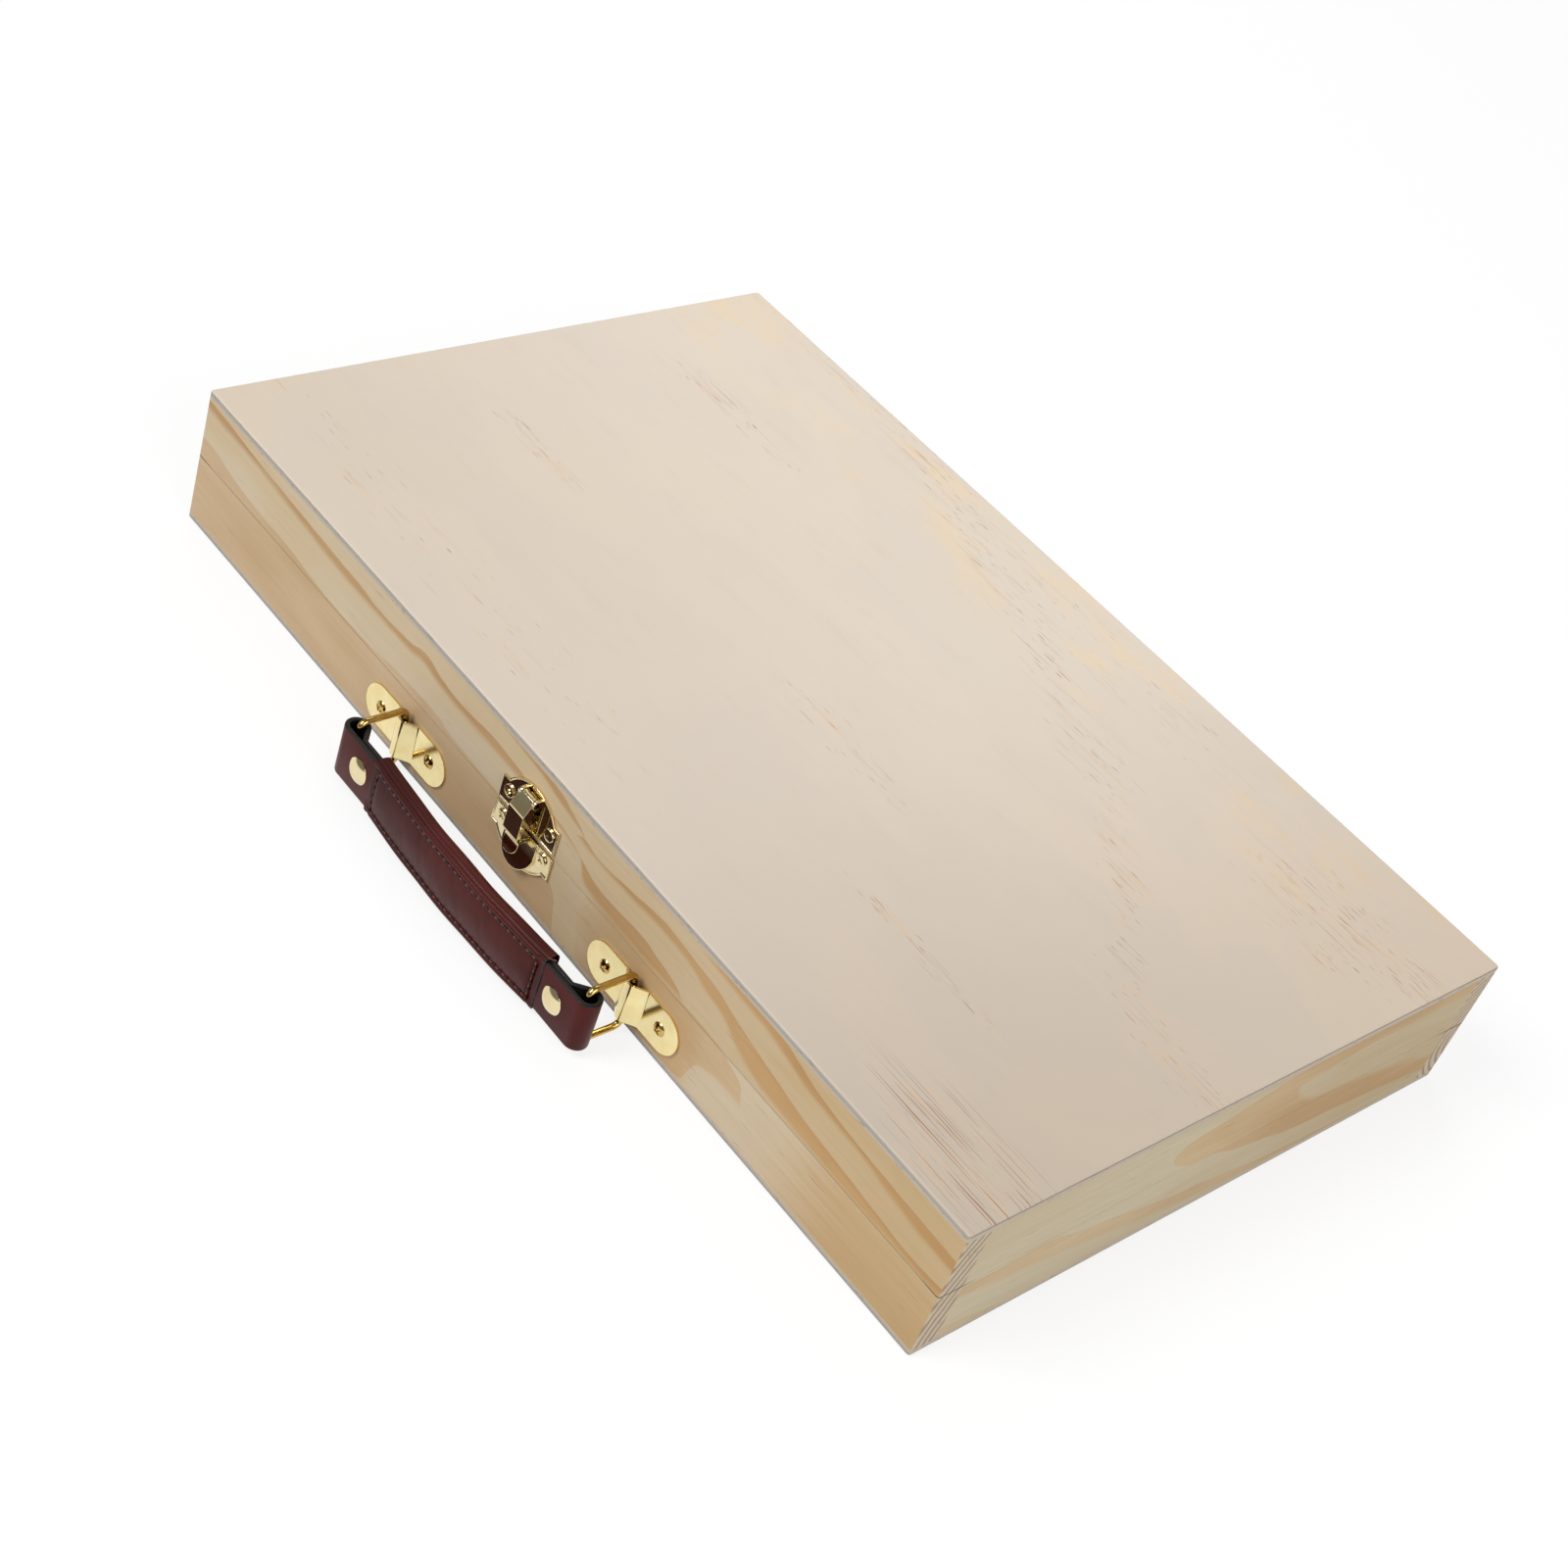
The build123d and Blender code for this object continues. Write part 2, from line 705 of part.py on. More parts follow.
# Latch
latch_lid_plate()
latch_pin()
latch_tongue()
latch_base_plate()
for name, points in (("lid_latch_screws", lid_latch_points), ("base_latch_screws", base_latch_points)):
    screws(
        name,
        front_spots(points, latch_plate_thickness),
        latch_screw_head_radius,
        latch_screw_head_height,
        latch_screw_radius,
        latch_screw_length,
    )

# Handle
for word, centre in zip(("left", "right"), bracket_centres):
    handle_bracket(f"{word}_handle_bracket", centre)
    wire_ring(f"{word}_handle_ring", centre)
screws(
    "handle_bracket_screws",
    front_spots(bracket_points, bracket_thickness),
    bracket_screw_head_radius,
    bracket_screw_head_height,
    bracket_screw_radius,
    bracket_screw_length,
)
strap_part = strap()
rivet("left_strap_rivet", -rivet_x)
rivet("right_strap_rivet", rivet_x)
grip(strap_part)
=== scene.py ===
from math import asin, cos, pi, radians, sin

import bpy
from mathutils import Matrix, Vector


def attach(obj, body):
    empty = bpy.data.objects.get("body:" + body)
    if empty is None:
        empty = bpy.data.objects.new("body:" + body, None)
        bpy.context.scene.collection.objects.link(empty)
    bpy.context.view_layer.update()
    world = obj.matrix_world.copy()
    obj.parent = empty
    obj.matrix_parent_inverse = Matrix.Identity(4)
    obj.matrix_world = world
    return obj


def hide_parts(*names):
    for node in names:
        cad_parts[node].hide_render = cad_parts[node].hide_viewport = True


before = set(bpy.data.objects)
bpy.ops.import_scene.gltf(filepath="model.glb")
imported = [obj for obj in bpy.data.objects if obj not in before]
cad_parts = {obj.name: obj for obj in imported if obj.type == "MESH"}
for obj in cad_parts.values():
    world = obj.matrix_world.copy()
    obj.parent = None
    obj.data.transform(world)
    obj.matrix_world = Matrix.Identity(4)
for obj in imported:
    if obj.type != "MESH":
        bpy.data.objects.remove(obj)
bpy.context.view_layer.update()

print("frame loaded:", len(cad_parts), "nodes")
mm = 0.001


# Helpers: colours and shader maths
def srgb(red, green, blue):
    # a colour, 0-255, to the linear values that Blender uses
    def linear(part):
        part = part / 255
        return part / 12.92 if part <= 0.04045 else ((part + 0.055) / 1.055) ** 2.4
    return (linear(red), linear(green), linear(blue), 1.0)


class Value:
    # one output socket, so that shader maths reads as plain sums
    def __init__(self, finish, socket):
        self.finish = finish
        self.socket = socket

    def other(self, name):
        return Value(self.finish, self.socket.node.outputs[name])

    def calc(self, operation, first, second=None, clamp=False):
        settings = {"operation": operation, "use_clamp": clamp}
        return self.finish.node("ShaderNodeMath", settings, {0: first, 1: second})

    def __add__(self, other):
        return self.calc("ADD", self, other)

    def __radd__(self, other):
        return self.calc("ADD", other, self)

    def __sub__(self, other):
        return self.calc("SUBTRACT", self, other)

    def __rsub__(self, other):
        return self.calc("SUBTRACT", other, self)

    def __mul__(self, other):
        return self.calc("MULTIPLY", self, other)

    def __rmul__(self, other):
        return self.calc("MULTIPLY", other, self)

    def __truediv__(self, other):
        return self.calc("DIVIDE", self, other)

    def __rtruediv__(self, other):
        return self.calc("DIVIDE", other, self)

    def __pow__(self, other):
        return self.calc("POWER", self, other)

    def __rpow__(self, other):
        return self.calc("POWER", other, self)

    def __gt__(self, other):
        return self.calc("GREATER_THAN", self, other)

    def __lt__(self, other):
        return self.calc("LESS_THAN", self, other)

    def clamped(self):
        return self.calc("ADD", self, 0.0, clamp=True)

    def most(self, other):
        return self.calc("MAXIMUM", self, other)

    def least(self, other):
        return self.calc("MINIMUM", self, other)

    def size(self):
        return self.calc("ABSOLUTE", self)

    def wave(self):
        return self.calc("SINE", self)

    def between(self, low, high, lowTo=0.0, highTo=1.0):
        # eases from lowTo to highTo as the value goes from low to high
        sockets = {"Value": self, "From Min": low, "From Max": high, "To Min": lowTo, "To Max": highTo}
        return self.finish.node("ShaderNodeMapRange", {"interpolation_type": "SMOOTHSTEP"}, sockets)


class Finish:
    # a material, or the world, under construction
    def __init__(self, name, store=bpy.data.materials):
        self.made = store.new(name)
        self.made.use_nodes = True
        self.tree = self.made.node_tree
        self.tree.nodes.clear()

    def node(self, kind, settings=None, sockets=None, out=0):
        made = self.tree.nodes.new(kind)
        for name, setting in (settings or {}).items():
            setattr(made, name, setting)
        for name, value in (sockets or {}).items():
            if isinstance(value, Value):
                self.tree.links.new(value.socket, made.inputs[name])
            elif value is not None:
                made.inputs[name].default_value = value
        return Value(self, made.outputs[out]) if made.outputs else made

    def place(self, scale=(1, 1, 1), turn=(0, 0, 0), move=(0, 0, 0)):
        spot = self.node("ShaderNodeTexCoord", out="Object")
        sockets = {"Vector": spot, "Location": move, "Rotation": turn, "Scale": scale}
        return self.node("ShaderNodeMapping", {"vector_type": "POINT"}, sockets)

    def axes(self, vector=None):
        split = self.node("ShaderNodeSeparateXYZ", None, {"Vector": vector or self.place()})
        return split, split.other("Y"), split.other("Z")

    def facing(self):
        # how squarely the surface faces along x and along z
        x, y, z = self.axes(self.node("ShaderNodeTexCoord", out="Normal"))
        return x.size(), z.size()

    def noise(self, vector, scale, detail=3.0, rough=0.5, bend=0.0):
        sockets = {"Vector": vector, "Scale": scale, "Detail": detail, "Roughness": rough, "Distortion": bend}
        return self.node("ShaderNodeTexNoise", None, sockets)

    def grain(self, scale, detail=3.0, rough=0.5, bend=0.0, **place):
        # noise with its own scale along each axis
        return self.noise(self.place(scale=scale, **place), 1.0, detail, rough, bend)

    def line(self, value, points):
        # the value led through a curve from 0 to 1 both ways, drawn through the points
        curve = self.node("ShaderNodeFloatCurve", None, {"Value": value})
        mapping = curve.socket.node.mapping
        made = mapping.curves[0].points
        made[0].location, made[1].location = points[0], points[-1]
        for point in points[1:-1]:
            made.new(*point)
        mapping.extend = "HORIZONTAL"
        mapping.update()
        return curve

    def mix(self, amount, first, second, blend="MIX"):
        settings = {"data_type": "RGBA", "blend_type": blend}
        return self.node("ShaderNodeMix", settings, {0: amount, 6: first, 7: second}, out=2)

    def bump(self, height, strength, depth):
        sockets = {"Height": height, "Strength": strength, "Distance": depth}
        return self.node("ShaderNodeBump", None, sockets)

    def close(self, shader, kind="ShaderNodeOutputMaterial"):
        self.node(kind, None, {"Surface": shader})
        return self.made

    def closeSolid(self, colour, rough, normal=None, **fixed):
        sockets = {"Base Color": colour, "Roughness": rough, "Normal": normal}
        sockets.update({name.replace("_", " "): value for name, value in fixed.items()})
        return self.close(self.node("ShaderNodeBsdfPrincipled", None, sockets))


# The box's own measures, millimetres
boxSize = {"halfLength": 185, "halfDepth": 115, "height": 50, "seamZ": 25}

# Wood: edges of the growth bands on the front boards, (x, z) in millimetres
frontWood = {
    "pale": srgb(212, 194, 166),
    "paleWarm": srgb(208, 186, 150),
    "tan": srgb(204, 170, 126),
    "tanDeep": srgb(184, 145, 99),
    "aged": srgb(242, 230, 206),
    "endPale": srgb(202, 186, 160),
    "endDark": srgb(140, 112, 86),
    # a stretch of the lower board that has stayed pale: fade in from, to, fade out from, to
    "fresh": (0.080, 0.088, 0.118, 0.150),
    "bands": [
        {
            "top": [(-185, 46.8), (-165, 45.5), (-145, 44), (-125, 43), (-105, 42), (-95, 41.5), (-80, 40.5),
                    (-65, 41.5), (-60, 43), (-50, 41), (-40, 40), (-20, 40.8), (-10, 40), (10, 38), (20, 36),
                    (25, 34), (35, 31.5), (55, 32), (60, 31), (70, 29), (80, 25.5), (185, 25.5)],
            "bottom": [(-185, 42.5), (-165, 41.8), (-145, 40.8), (-125, 39), (-110, 37.8), (-85, 37),
                       (-65, 37.5), (-60, 38.5), (-50, 37), (-40, 36.5), (-10, 36), (22, 34), (25, 30),
                       (28, 27), (35, 25.5), (80, 25.5), (185, 25.5)],
            "above": 0.5, "below": 2.2, "strength": 1.0,
        },
        {
            "top": [(-185, 32.5), (-175, 32), (-165, 30), (-150, 28.5), (-130, 28), (-115, 26.5), (-90, 26),
                    (-80, 26.8), (-70, 28), (-50, 28.5), (-40, 27), (-15, 25.8), (-5, 22), (5, 18),
                    (12, 17.5), (17, 15), (20, 9), (22, 1.5), (40, 1.5), (185, 1.5)],
            "bottom": [(-185, 1.5), (185, 1.5)],
            "above": 0.6, "below": 1.5, "strength": 0.58,
        },
        {
            "top": [(-185, 16), (26, 16), (34, 25.9), (60, 25.9), (88, 25.9), (96, 24.4), (103, 22),
                    (104.5, 19.5), (107, 15), (185, 15)],
            "bottom": [(-185, 16), (26, 16), (30, 12), (34, 2), (80, 2), (84, 4), (86, 11), (90, 13.5),
                       (98, 15), (107, 15), (185, 15)],
            "above": 0.6, "below": 1.2, "strength": 0.62, "fadeIn": (24, 46),
        },
        {
            "top": [(-185, 13), (100, 13), (112, 24), (185, 24.5)],
            "bottom": [(-185, 13), (100, 13), (112, 3), (185, 1)],
            "above": 3.5, "below": 3.0, "strength": 0.34, "fadeIn": (104, 140),
        },
        {
            "top": [(-185, 39.5), (18, 39.5), (22, 41), (30, 40), (45, 41.5), (60, 43), (75, 42), (85, 41),
                    (90, 39.5), (100, 37), (115, 34), (130, 31.5), (145, 30.5), (160, 29), (172, 28),
                    (185, 29)],
            "bottom": [(-185, 39.5), (18, 39.5), (25, 38.5), (45, 38.5), (60, 39.5), (72, 38.5), (80, 36),
                       (88, 34.5), (95, 31), (100, 29), (110, 26.5), (125, 25.2), (185, 24.8)],
            "above": 0.5, "below": 1.8, "strength": 1.0,
        },
        {
            "top": [(-185, 46.7), (70, 46.7), (80, 47.5), (110, 47.5), (118, 46), (125, 44), (140, 42),
                    (155, 41), (185, 40)],
            "bottom": [(-185, 46.7), (72, 46.7), (78, 46), (90, 44.8), (103, 44.2), (115, 42), (125, 40),
                       (133, 39.5), (145, 39), (160, 36.5), (175, 34.8), (185, 34.5)],
            "above": 0.5, "below": 1.8, "strength": 1.0,
        },
        {
            "top": [(-185, 47.6), (-50, 47.6), (-10, 47.6), (8, 47), (15, 45), (22, 42), (26, 40), (185, 40)],
            "bottom": [(-185, 47.6), (-50, 47.6), (-20, 46.8), (0, 45), (10, 43), (20, 41.2), (26, 40),
                       (185, 40)],
            "above": 0.4, "below": 1.4, "strength": 0.9,
        },
    ],
}

# The right end board: nested arches that open to +Y, (y, z) in millimetres
endWood = {
    "pale": srgb(202, 188, 158),
    "paleWarm": srgb(198, 180, 146),
    "tan": srgb(204, 176, 134),
    "tanDeep": srgb(190, 156, 112),
    "aged": srgb(244, 237, 224),
    "bands": [
        {
            "top": [(-115, 36.5), (-27, 36.5), (-24, 39), (-20, 40), (-2.5, 43), (12.5, 46), (22.5, 47.5),
                    (115, 49)],
            "bottom": [(-115, 36.5), (-28, 36.5), (-27.5, 32.5), (-22, 28), (-15, 25), (-6, 24.4), (5, 21),
                       (20, 17.5), (35, 14.4), (60, 12.5), (85, 10), (107, 7), (115, 6)],
            "above": 0.7, "below": 0.7, "strength": 1.0,
            "hollow": {
                "top": [(-115, 38.5), (21, 38.5), (24, 40.2), (41, 42.5), (60, 44.4), (107, 44), (115, 44)],
                "bottom": [(-115, 38.5), (21, 38.5), (24, 36.8), (28, 32), (32, 29), (41, 25), (60, 23),
                           (72, 20.6), (91, 17), (107, 12.5), (115, 11)],
                "above": 3.0, "below": 3.0,
            },
        },
        {
            "top": [(-115, 25), (-105, 24.4), (-90, 23.8), (-72.5, 24.4), (-59, 21), (-40, 17.5),
                    (-27.5, 14.4), (-2.5, 10.6), (22.5, 6.9), (60, 3.8), (115, 2)],
            "bottom": [(-115, 19), (-105, 18), (-90, 15.6), (-74, 13.8), (-55, 11.9), (-40, 8.8), (-25, 6.3),
                       (-2.5, 3.1), (22, 1.3), (115, 1)],
            "above": 0.6, "below": 2.5, "strength": 0.8,
        },
        {
            "top": [(-115, 8), (-105, 7), (-90, 5), (-77, 2), (-60, 0), (115, 0)],
            "bottom": [(-115, 0), (115, 0)],
            "above": 0.8, "below": 1.0, "strength": 0.7,
        },
    ],
}


# what all the pine boards share
pineLook = {
    "stretch": {"x": (7, 60, 150), "y": (60, 7, 150)},
    # how far slow and quick waves move the growth bands, and how far their dark upper rim reaches, mm
    "warp": 1.3, "ripple": 0.9, "rim": 1.4,
    # how strongly each shows over the wood's colour
    "rimShare": 0.35, "streakShare": 0.16, "glintShare": 0.10, "poreShare": 0.4, "freshShare": 0.85,
    "endShare": 0.75, "cornerShadeShare": 0.75, "seamShadeShare": 0.55,
    "glint": srgb(236, 222, 198),
    "pore": srgb(120, 84, 56),
    # painted shade in the seam between the halves: a darker mark at the corners, and a thin line along the
    # long boards
    "cornerShade": srgb(70, 52, 40),
    "seam": srgb(120, 92, 66),
    # middles of the growth rings on the end grain, (y, z) in millimetres: front boards, back boards
    "ringMiddles": ((20, -22), (127, 19)),
    "ringPitch": 2.4, "ringWaver": 4.5,
}


def bandMask(finish, along, up, band, half):
    # 1 inside a growth band, sharp on its upper edge and fading out below
    def edge(points):
        line = [((a + half) / (2 * half), z / boxSize["height"]) for a, z in points]
        share = (along / (2 * half * mm)) + 0.5
        return finish.line(share, line) * (boxSize["height"] * mm)
    top = edge(band["top"])
    under = ((top - up) / (band["above"] * mm)).clamped()
    over = ((up - edge(band["bottom"])) / (band["below"] * mm)).clamped()
    mask = under * over
    rim = mask * (top - up).between(0.0, pineLook["rim"] * mm, 1.0, 0.0)
    if "hollow" in band:
        mask = mask * (1 - bandMask(finish, along, up, band["hollow"], half)[0])
    if "fadeIn" in band:
        start, end = band["fadeIn"]
        mask = mask * along.between(start * mm, end * mm)
    strength = band.get("strength", 1.0)
    return mask * strength, rim * strength


def pineFinish(name, wood, half, alongAxis, mirrored, seed):
    # flat-sawn pine: growth bands, fine streaks along the board and a dull lacquer
    finish = Finish(name)
    look = pineLook
    x, y, z = finish.axes()
    along = x if alongAxis == "x" else y
    if mirrored:
        along = along * -1
    long = look["stretch"][alongAxis]
    warp = (finish.grain(long, 2.0, move=(seed, seed, seed)) - 0.5) * (look["warp"] * mm)
    ripple = (finish.grain((90, 90, 420), 2.0, move=(seed, 0, 0)) - 0.5) * (look["ripple"] * mm)
    up = z + warp + ripple
    mask, rim = None, None
    for band in wood["bands"]:
        one, oneRim = bandMask(finish, along, up, band, half)
        mask = one if mask is None else mask.most(one)
        rim = oneRim if rim is None else rim.most(oneRim)
    blotch = finish.grain((12, 12, 40), 2.0, move=(seed, 3, 1))
    streak = finish.grain([4 * s for s in long], 4.0, 0.6, move=(seed, 0, seed))
    pale = finish.mix(blotch.between(0.35, 0.65), wood["pale"], wood["paleWarm"])
    tan = finish.mix(blotch.between(0.3, 0.7), wood["tan"], wood["tanDeep"])
    colour = finish.mix(mask.clamped(), pale, tan)
    colour = finish.mix((rim * look["rimShare"]).clamped(), colour, wood["tanDeep"])
    colour = finish.mix(streak.between(0.48, 0.78) * look["streakShare"], colour, wood["tanDeep"])
    colour = finish.mix(streak.between(0.2, 0.45, 1.0, 0.0) * look["glintShare"], colour, look["glint"])
    # one end of the board has yellowed a little more
    yellowed = along.between(-0.4 * half * mm, half * mm)
    if "fresh" in wood:
        rise, full, fall, gone = wood["fresh"]
        ragged = along + ((streak - 0.5) * 0.03)
        kept = ragged.between(rise, full) * ragged.between(fall, gone, 1.0, 0.0)
        lower = z.between(0.0248, 0.0252, 1.0, 0.0)
        yellowed = yellowed * (1 - (kept * lower * look["freshShare"]))
    colour = finish.mix(yellowed, colour, wood["aged"], "MULTIPLY")
    # short dark pores, drawn out along the grain
    pore = finish.grain([11 * s for s in long], 1.0, move=(0, seed, 0))
    colour = finish.mix(pore.between(0.70, 0.78) * look["poreShare"], colour, look["pore"])
    facingX, facingZ = finish.facing()
    if alongAxis == "x":
        # end grain: arcs of growth rings on the boards' ends
        def fromMiddle(middleY, middleZ):
            flatY, flatZ = (y * 1000) - middleY, (z * 1000) - middleZ
            return ((flatY * flatY) + (flatZ * flatZ)) ** 0.5
        front, back = [fromMiddle(*middle) for middle in look["ringMiddles"]]
        radius = (front * (y < 0.0)) + (back * (y > 0.0))
        waver = finish.grain((110, 110, 50), 2.0) * look["ringWaver"]
        rings = ((radius * look["ringPitch"]) + waver).wave().between(-0.5, 1.0)
        grain = finish.mix(rings * look["endShare"], wood["endPale"], wood["endDark"])
        speck = finish.grain((900, 900, 500), 2.0)
        grain = finish.mix(speck.between(0.55, 0.75) * 0.4, grain, wood["endDark"])
        colour = finish.mix(facingX.between(0.55, 0.8), colour, grain)
    # painted shade of the gap in the seam between the two halves, near the corners
    corner = (y.size().between(0.100, 0.106)) * (x.size().between(0.176, 0.182))
    upright = facingZ.between(0.9, 0.98, 1.0, 0.0)
    fromSeam = (z - boxSize["seamZ"] * mm).size()
    seam = fromSeam.between(0.0001, 0.0004, 1.0, 0.0) * upright
    colour = finish.mix(corner * seam * look["cornerShadeShare"], colour, look["cornerShade"])
    # a thin painted shade line along the seam on the long boards
    if alongAxis == "x":
        seamShadeLine = fromSeam.between(0.0001, 0.00034, 1.0, 0.0) * upright
        colour = finish.mix(seamShadeLine * look["seamShadeShare"], colour, look["seam"])
    height = (streak * 0.6) + (mask * 0.4)
    rough = streak.between(0.3, 0.7, 0.52, 0.64)
    return finish.closeSolid(colour, rough, finish.bump(height, 0.25, 0.00012), Specular_IOR_Level=0.4)


# Short brown flecks on the plywood follow one curve across the lid, (x, y) in millimetres
panelWood = {
    "cream": srgb(223, 209, 193),
    "grey": srgb(219, 207, 193),
    "warm": srgb(226, 210, 187),
    # painted shade: the sheet turns darker toward the right end
    "rightShade": srgb(234, 230, 225),
    # painted shade: the sheet turns darker toward the front edge
    "near": srgb(240, 239, 238),
    "amber": srgb(232, 208, 172),
    "veil": srgb(200, 176, 152),
    "halo": srgb(214, 182, 146),
    "fleck": srgb(148, 102, 68),
    "veneer": srgb(208, 198, 182),
    "core": srgb(166, 160, 154),
    "backing": srgb(194, 181, 163),
    "joint": srgb(120, 104, 88),
    "fleckLine": [(-185, 121), (-74, 108), (-28, 91), (0, 83.5), (22, 72), (46, 59), (74, 50), (93, 32),
                  (119, 15), (130, -3.5), (158, -16.5), (185, -17.4)],
    # the line's frame reaches this far to the front and back, mm
    "fleckFrame": 125,
    # where else the flecks gather: middle x, y, reach in x, y, and how thickly
    "fleckSpots": [
        (0.147, 0.0745, 0.040, 0.024, 0.9), (0.172, -0.100, 0.040, 0.015, 1.0),
        (0.025, -0.022, 0.036, 0.009, 0.8), (0.104, -0.059, 0.045, 0.004, 0.95),
        (-0.075, -0.0915, 0.12, 0.014, 0.72), (-0.124, 0.055, 0.045, 0.006, 0.92),
        (-0.13, -0.027, 0.034, 0.005, 0.92), (0.02, 0.095, 0.10, 0.016, 0.7),
        (0.178, 0.082, 0.012, 0.010, 1.0),
    ],
    # long thin strands gather in the front right corner: middle x, y, reach in x, y
    "strandSpot": (0.172, -0.099, 0.046, 0.015),
    # how strongly each shows over the sheet's colour
    "amberShare": 0.6, "veilShare": 0.12, "haloShare": 0.3, "fleckShare": 0.62,
}


def panelFinish(name):
    finish = Finish(name)
    look = panelWood
    halfX, halfY = boxSize["halfLength"] * mm, look["fleckFrame"] * mm

    def within(middleX, middleY, reachX, reachY):
        # square of the distance from a spot's middle, 1 at its reach
        return (((x - middleX) / reachX) ** 2.0) + (((y - middleY) / reachY) ** 2.0)

    x, y, z = finish.axes()
    cloud = finish.grain((11, 20, 14), 4.0, 0.6, 0.6)
    patch = finish.grain((5, 9, 14), 3.0, 0.5, 0.5, move=(3, 8, 0))
    veil = finish.grain((30, 150, 20), 4.0, 0.6)
    colour = finish.mix(cloud.between(0.4, 0.62), look["cream"], look["grey"])
    warmth = (x.between(-0.19, -0.02, 1.0, 0.0) * 0.55) + (y.between(0.02, 0.12) * 0.45)
    colour = finish.mix((warmth * patch.between(0.3, 0.6)).clamped(), colour, look["warm"])
    stain = finish.grain((26, 80, 14), 3.0, 0.6, move=(6, 1, 0))
    amber = stain.between(0.48, 0.7) * y.between(0.045, 0.1)
    colour = finish.mix(amber * look["amberShare"], colour, look["amber"])
    # painted shade: darker toward the right end
    colour = finish.mix(x.between(0.0, 0.2), colour, look["rightShade"], "MULTIPLY")
    # painted shade: darker toward the front edge
    colour = finish.mix(y.between(-0.125, 0.09, 1.0, 0.0), colour, look["near"], "MULTIPLY")
    colour = finish.mix(veil.between(0.5, 0.8) * look["veilShare"], colour, look["veil"])
    # flecks: hair-thin dashes along X, most of them near the curved line
    line = [((a * mm + halfX) / (2 * halfX), (b * mm + halfY) / (2 * halfY)) for a, b in look["fleckLine"]]
    lineY = (finish.line((x / (2 * halfX)) + 0.5, line) - 0.5) * (2 * halfY)
    cluster = (y - lineY).size().between(0.003, 0.021, 0.88, 0.0)
    for *spot, thick in look["fleckSpots"]:
        cluster = cluster.most(within(*spot).between(0.3, 1.5, thick, 0.0))
    dash = finish.grain((125, 1700, 300), 1.0, move=(4, 7, 1))
    hair = finish.grain((42, 2400, 300), 1.0, move=(9, 2, 5))
    sparse = (1 - cluster) * 0.2
    long = x.between(0.12, 0.16) * y.between(-0.07, -0.03, 1.0, 0.0)
    fleck = (dash - sparse).between(0.65, 0.69).most((hair - sparse).between(0.64, 0.68) * (long * 0.4 + 0.6))
    strand = finish.grain((24, 2100, 300), 1.0, move=(2, 4, 8))
    strands = strand.between(0.625, 0.67) * within(*look["strandSpot"]).between(0.3, 1.6, 1.0, 0.0)
    fleck = (fleck * (1 - long * 0.75)).most(strands)
    broad = finish.grain((40, 420, 300), 1.0, move=(1, 5, 2))
    colour = finish.mix((broad - sparse).between(0.50, 0.70) * look["haloShare"], colour, look["halo"])
    colour = finish.mix(fleck * (long * 0.2 + look["fleckShare"]), colour, look["fleck"])
    # the sheet's cut edge: a veneer, a grey core and a pale backing, thinner lines on the ends
    facingX, facingZ = finish.facing()
    edge = facingZ.between(0.45, 0.75, 1.0, 0.0)
    onEnd = facingX.between(0.5, 0.8)
    wobble = finish.grain((60, 60, 300), 2.0)
    deep = z.least(boxSize["height"] * mm - z) + ((wobble - 0.5) * (0.5 * mm))
    speck = finish.grain((420, 420, 900), 2.0, 0.6)
    coreEnd = 0.0014 - (onEnd * 0.0009)
    core = deep.between(0.15 * mm, 0.4 * mm) * (deep - coreEnd).between(0.0, 0.0003, 1.0, 0.0)
    plies = finish.mix(deep.between(0.3 * mm, 0.6 * mm), look["veneer"], look["backing"])
    plies = finish.mix(core * 0.8, plies, finish.mix(onEnd, look["core"], look["joint"]))
    plies = finish.mix(speck.between(0.58, 0.72) * 0.35, plies, look["joint"])
    colour = finish.mix(edge, colour, plies)
    height = (veil * 0.4) + (speck * 0.3) - (fleck * 0.8)
    rough = cloud.between(0.3, 0.7, 0.56, 0.66)
    return finish.closeSolid(colour, rough, finish.bump(height, 0.2, 0.0001), Specular_IOR_Level=0.35)


def plainPlyFinish(name, alongX):
    # thin divider board: straight grain with pale and dark layers on its top edge
    finish = Finish(name)
    x, y, z = finish.axes()
    facingX, facingZ = finish.facing()
    grain = finish.grain((14, 14, 420), 4.0, 0.6)
    layer = ((y if alongX else x) * 4200).wave().between(-0.2, 0.8)
    colour = finish.mix(grain.between(0.3, 0.75), srgb(226, 206, 176), srgb(198, 166, 128))
    plies = finish.mix(layer * 0.6, srgb(222, 204, 176), srgb(158, 128, 98))
    colour = finish.mix(facingZ.between(0.5, 0.8), colour, plies)
    return finish.closeSolid(colour, grain.between(0.3, 0.7, 0.5, 0.6), finish.bump(grain, 0.2, 0.0001))


def brassFinish(name, bright, dull, rough, scratch):
    # plated brass: faint cloudiness and fine wear lines
    finish = Finish(name)
    cloud = finish.grain((180, 180, 180))
    lines = finish.grain((2600, 900, 700), 2.0, turn=(0.3, 0.2, 0.5))
    colour = finish.mix(cloud.between(0.35, 0.75), bright, dull)
    gloss = (cloud.between(0.3, 0.7, rough * 0.85, rough * 1.2)) + (lines.between(0.5, 0.8) * scratch)
    height = (cloud * 0.7) + (lines * 0.3)
    return finish.closeSolid(colour, gloss, finish.bump(height, 0.12, 0.00005), Metallic=1.0)


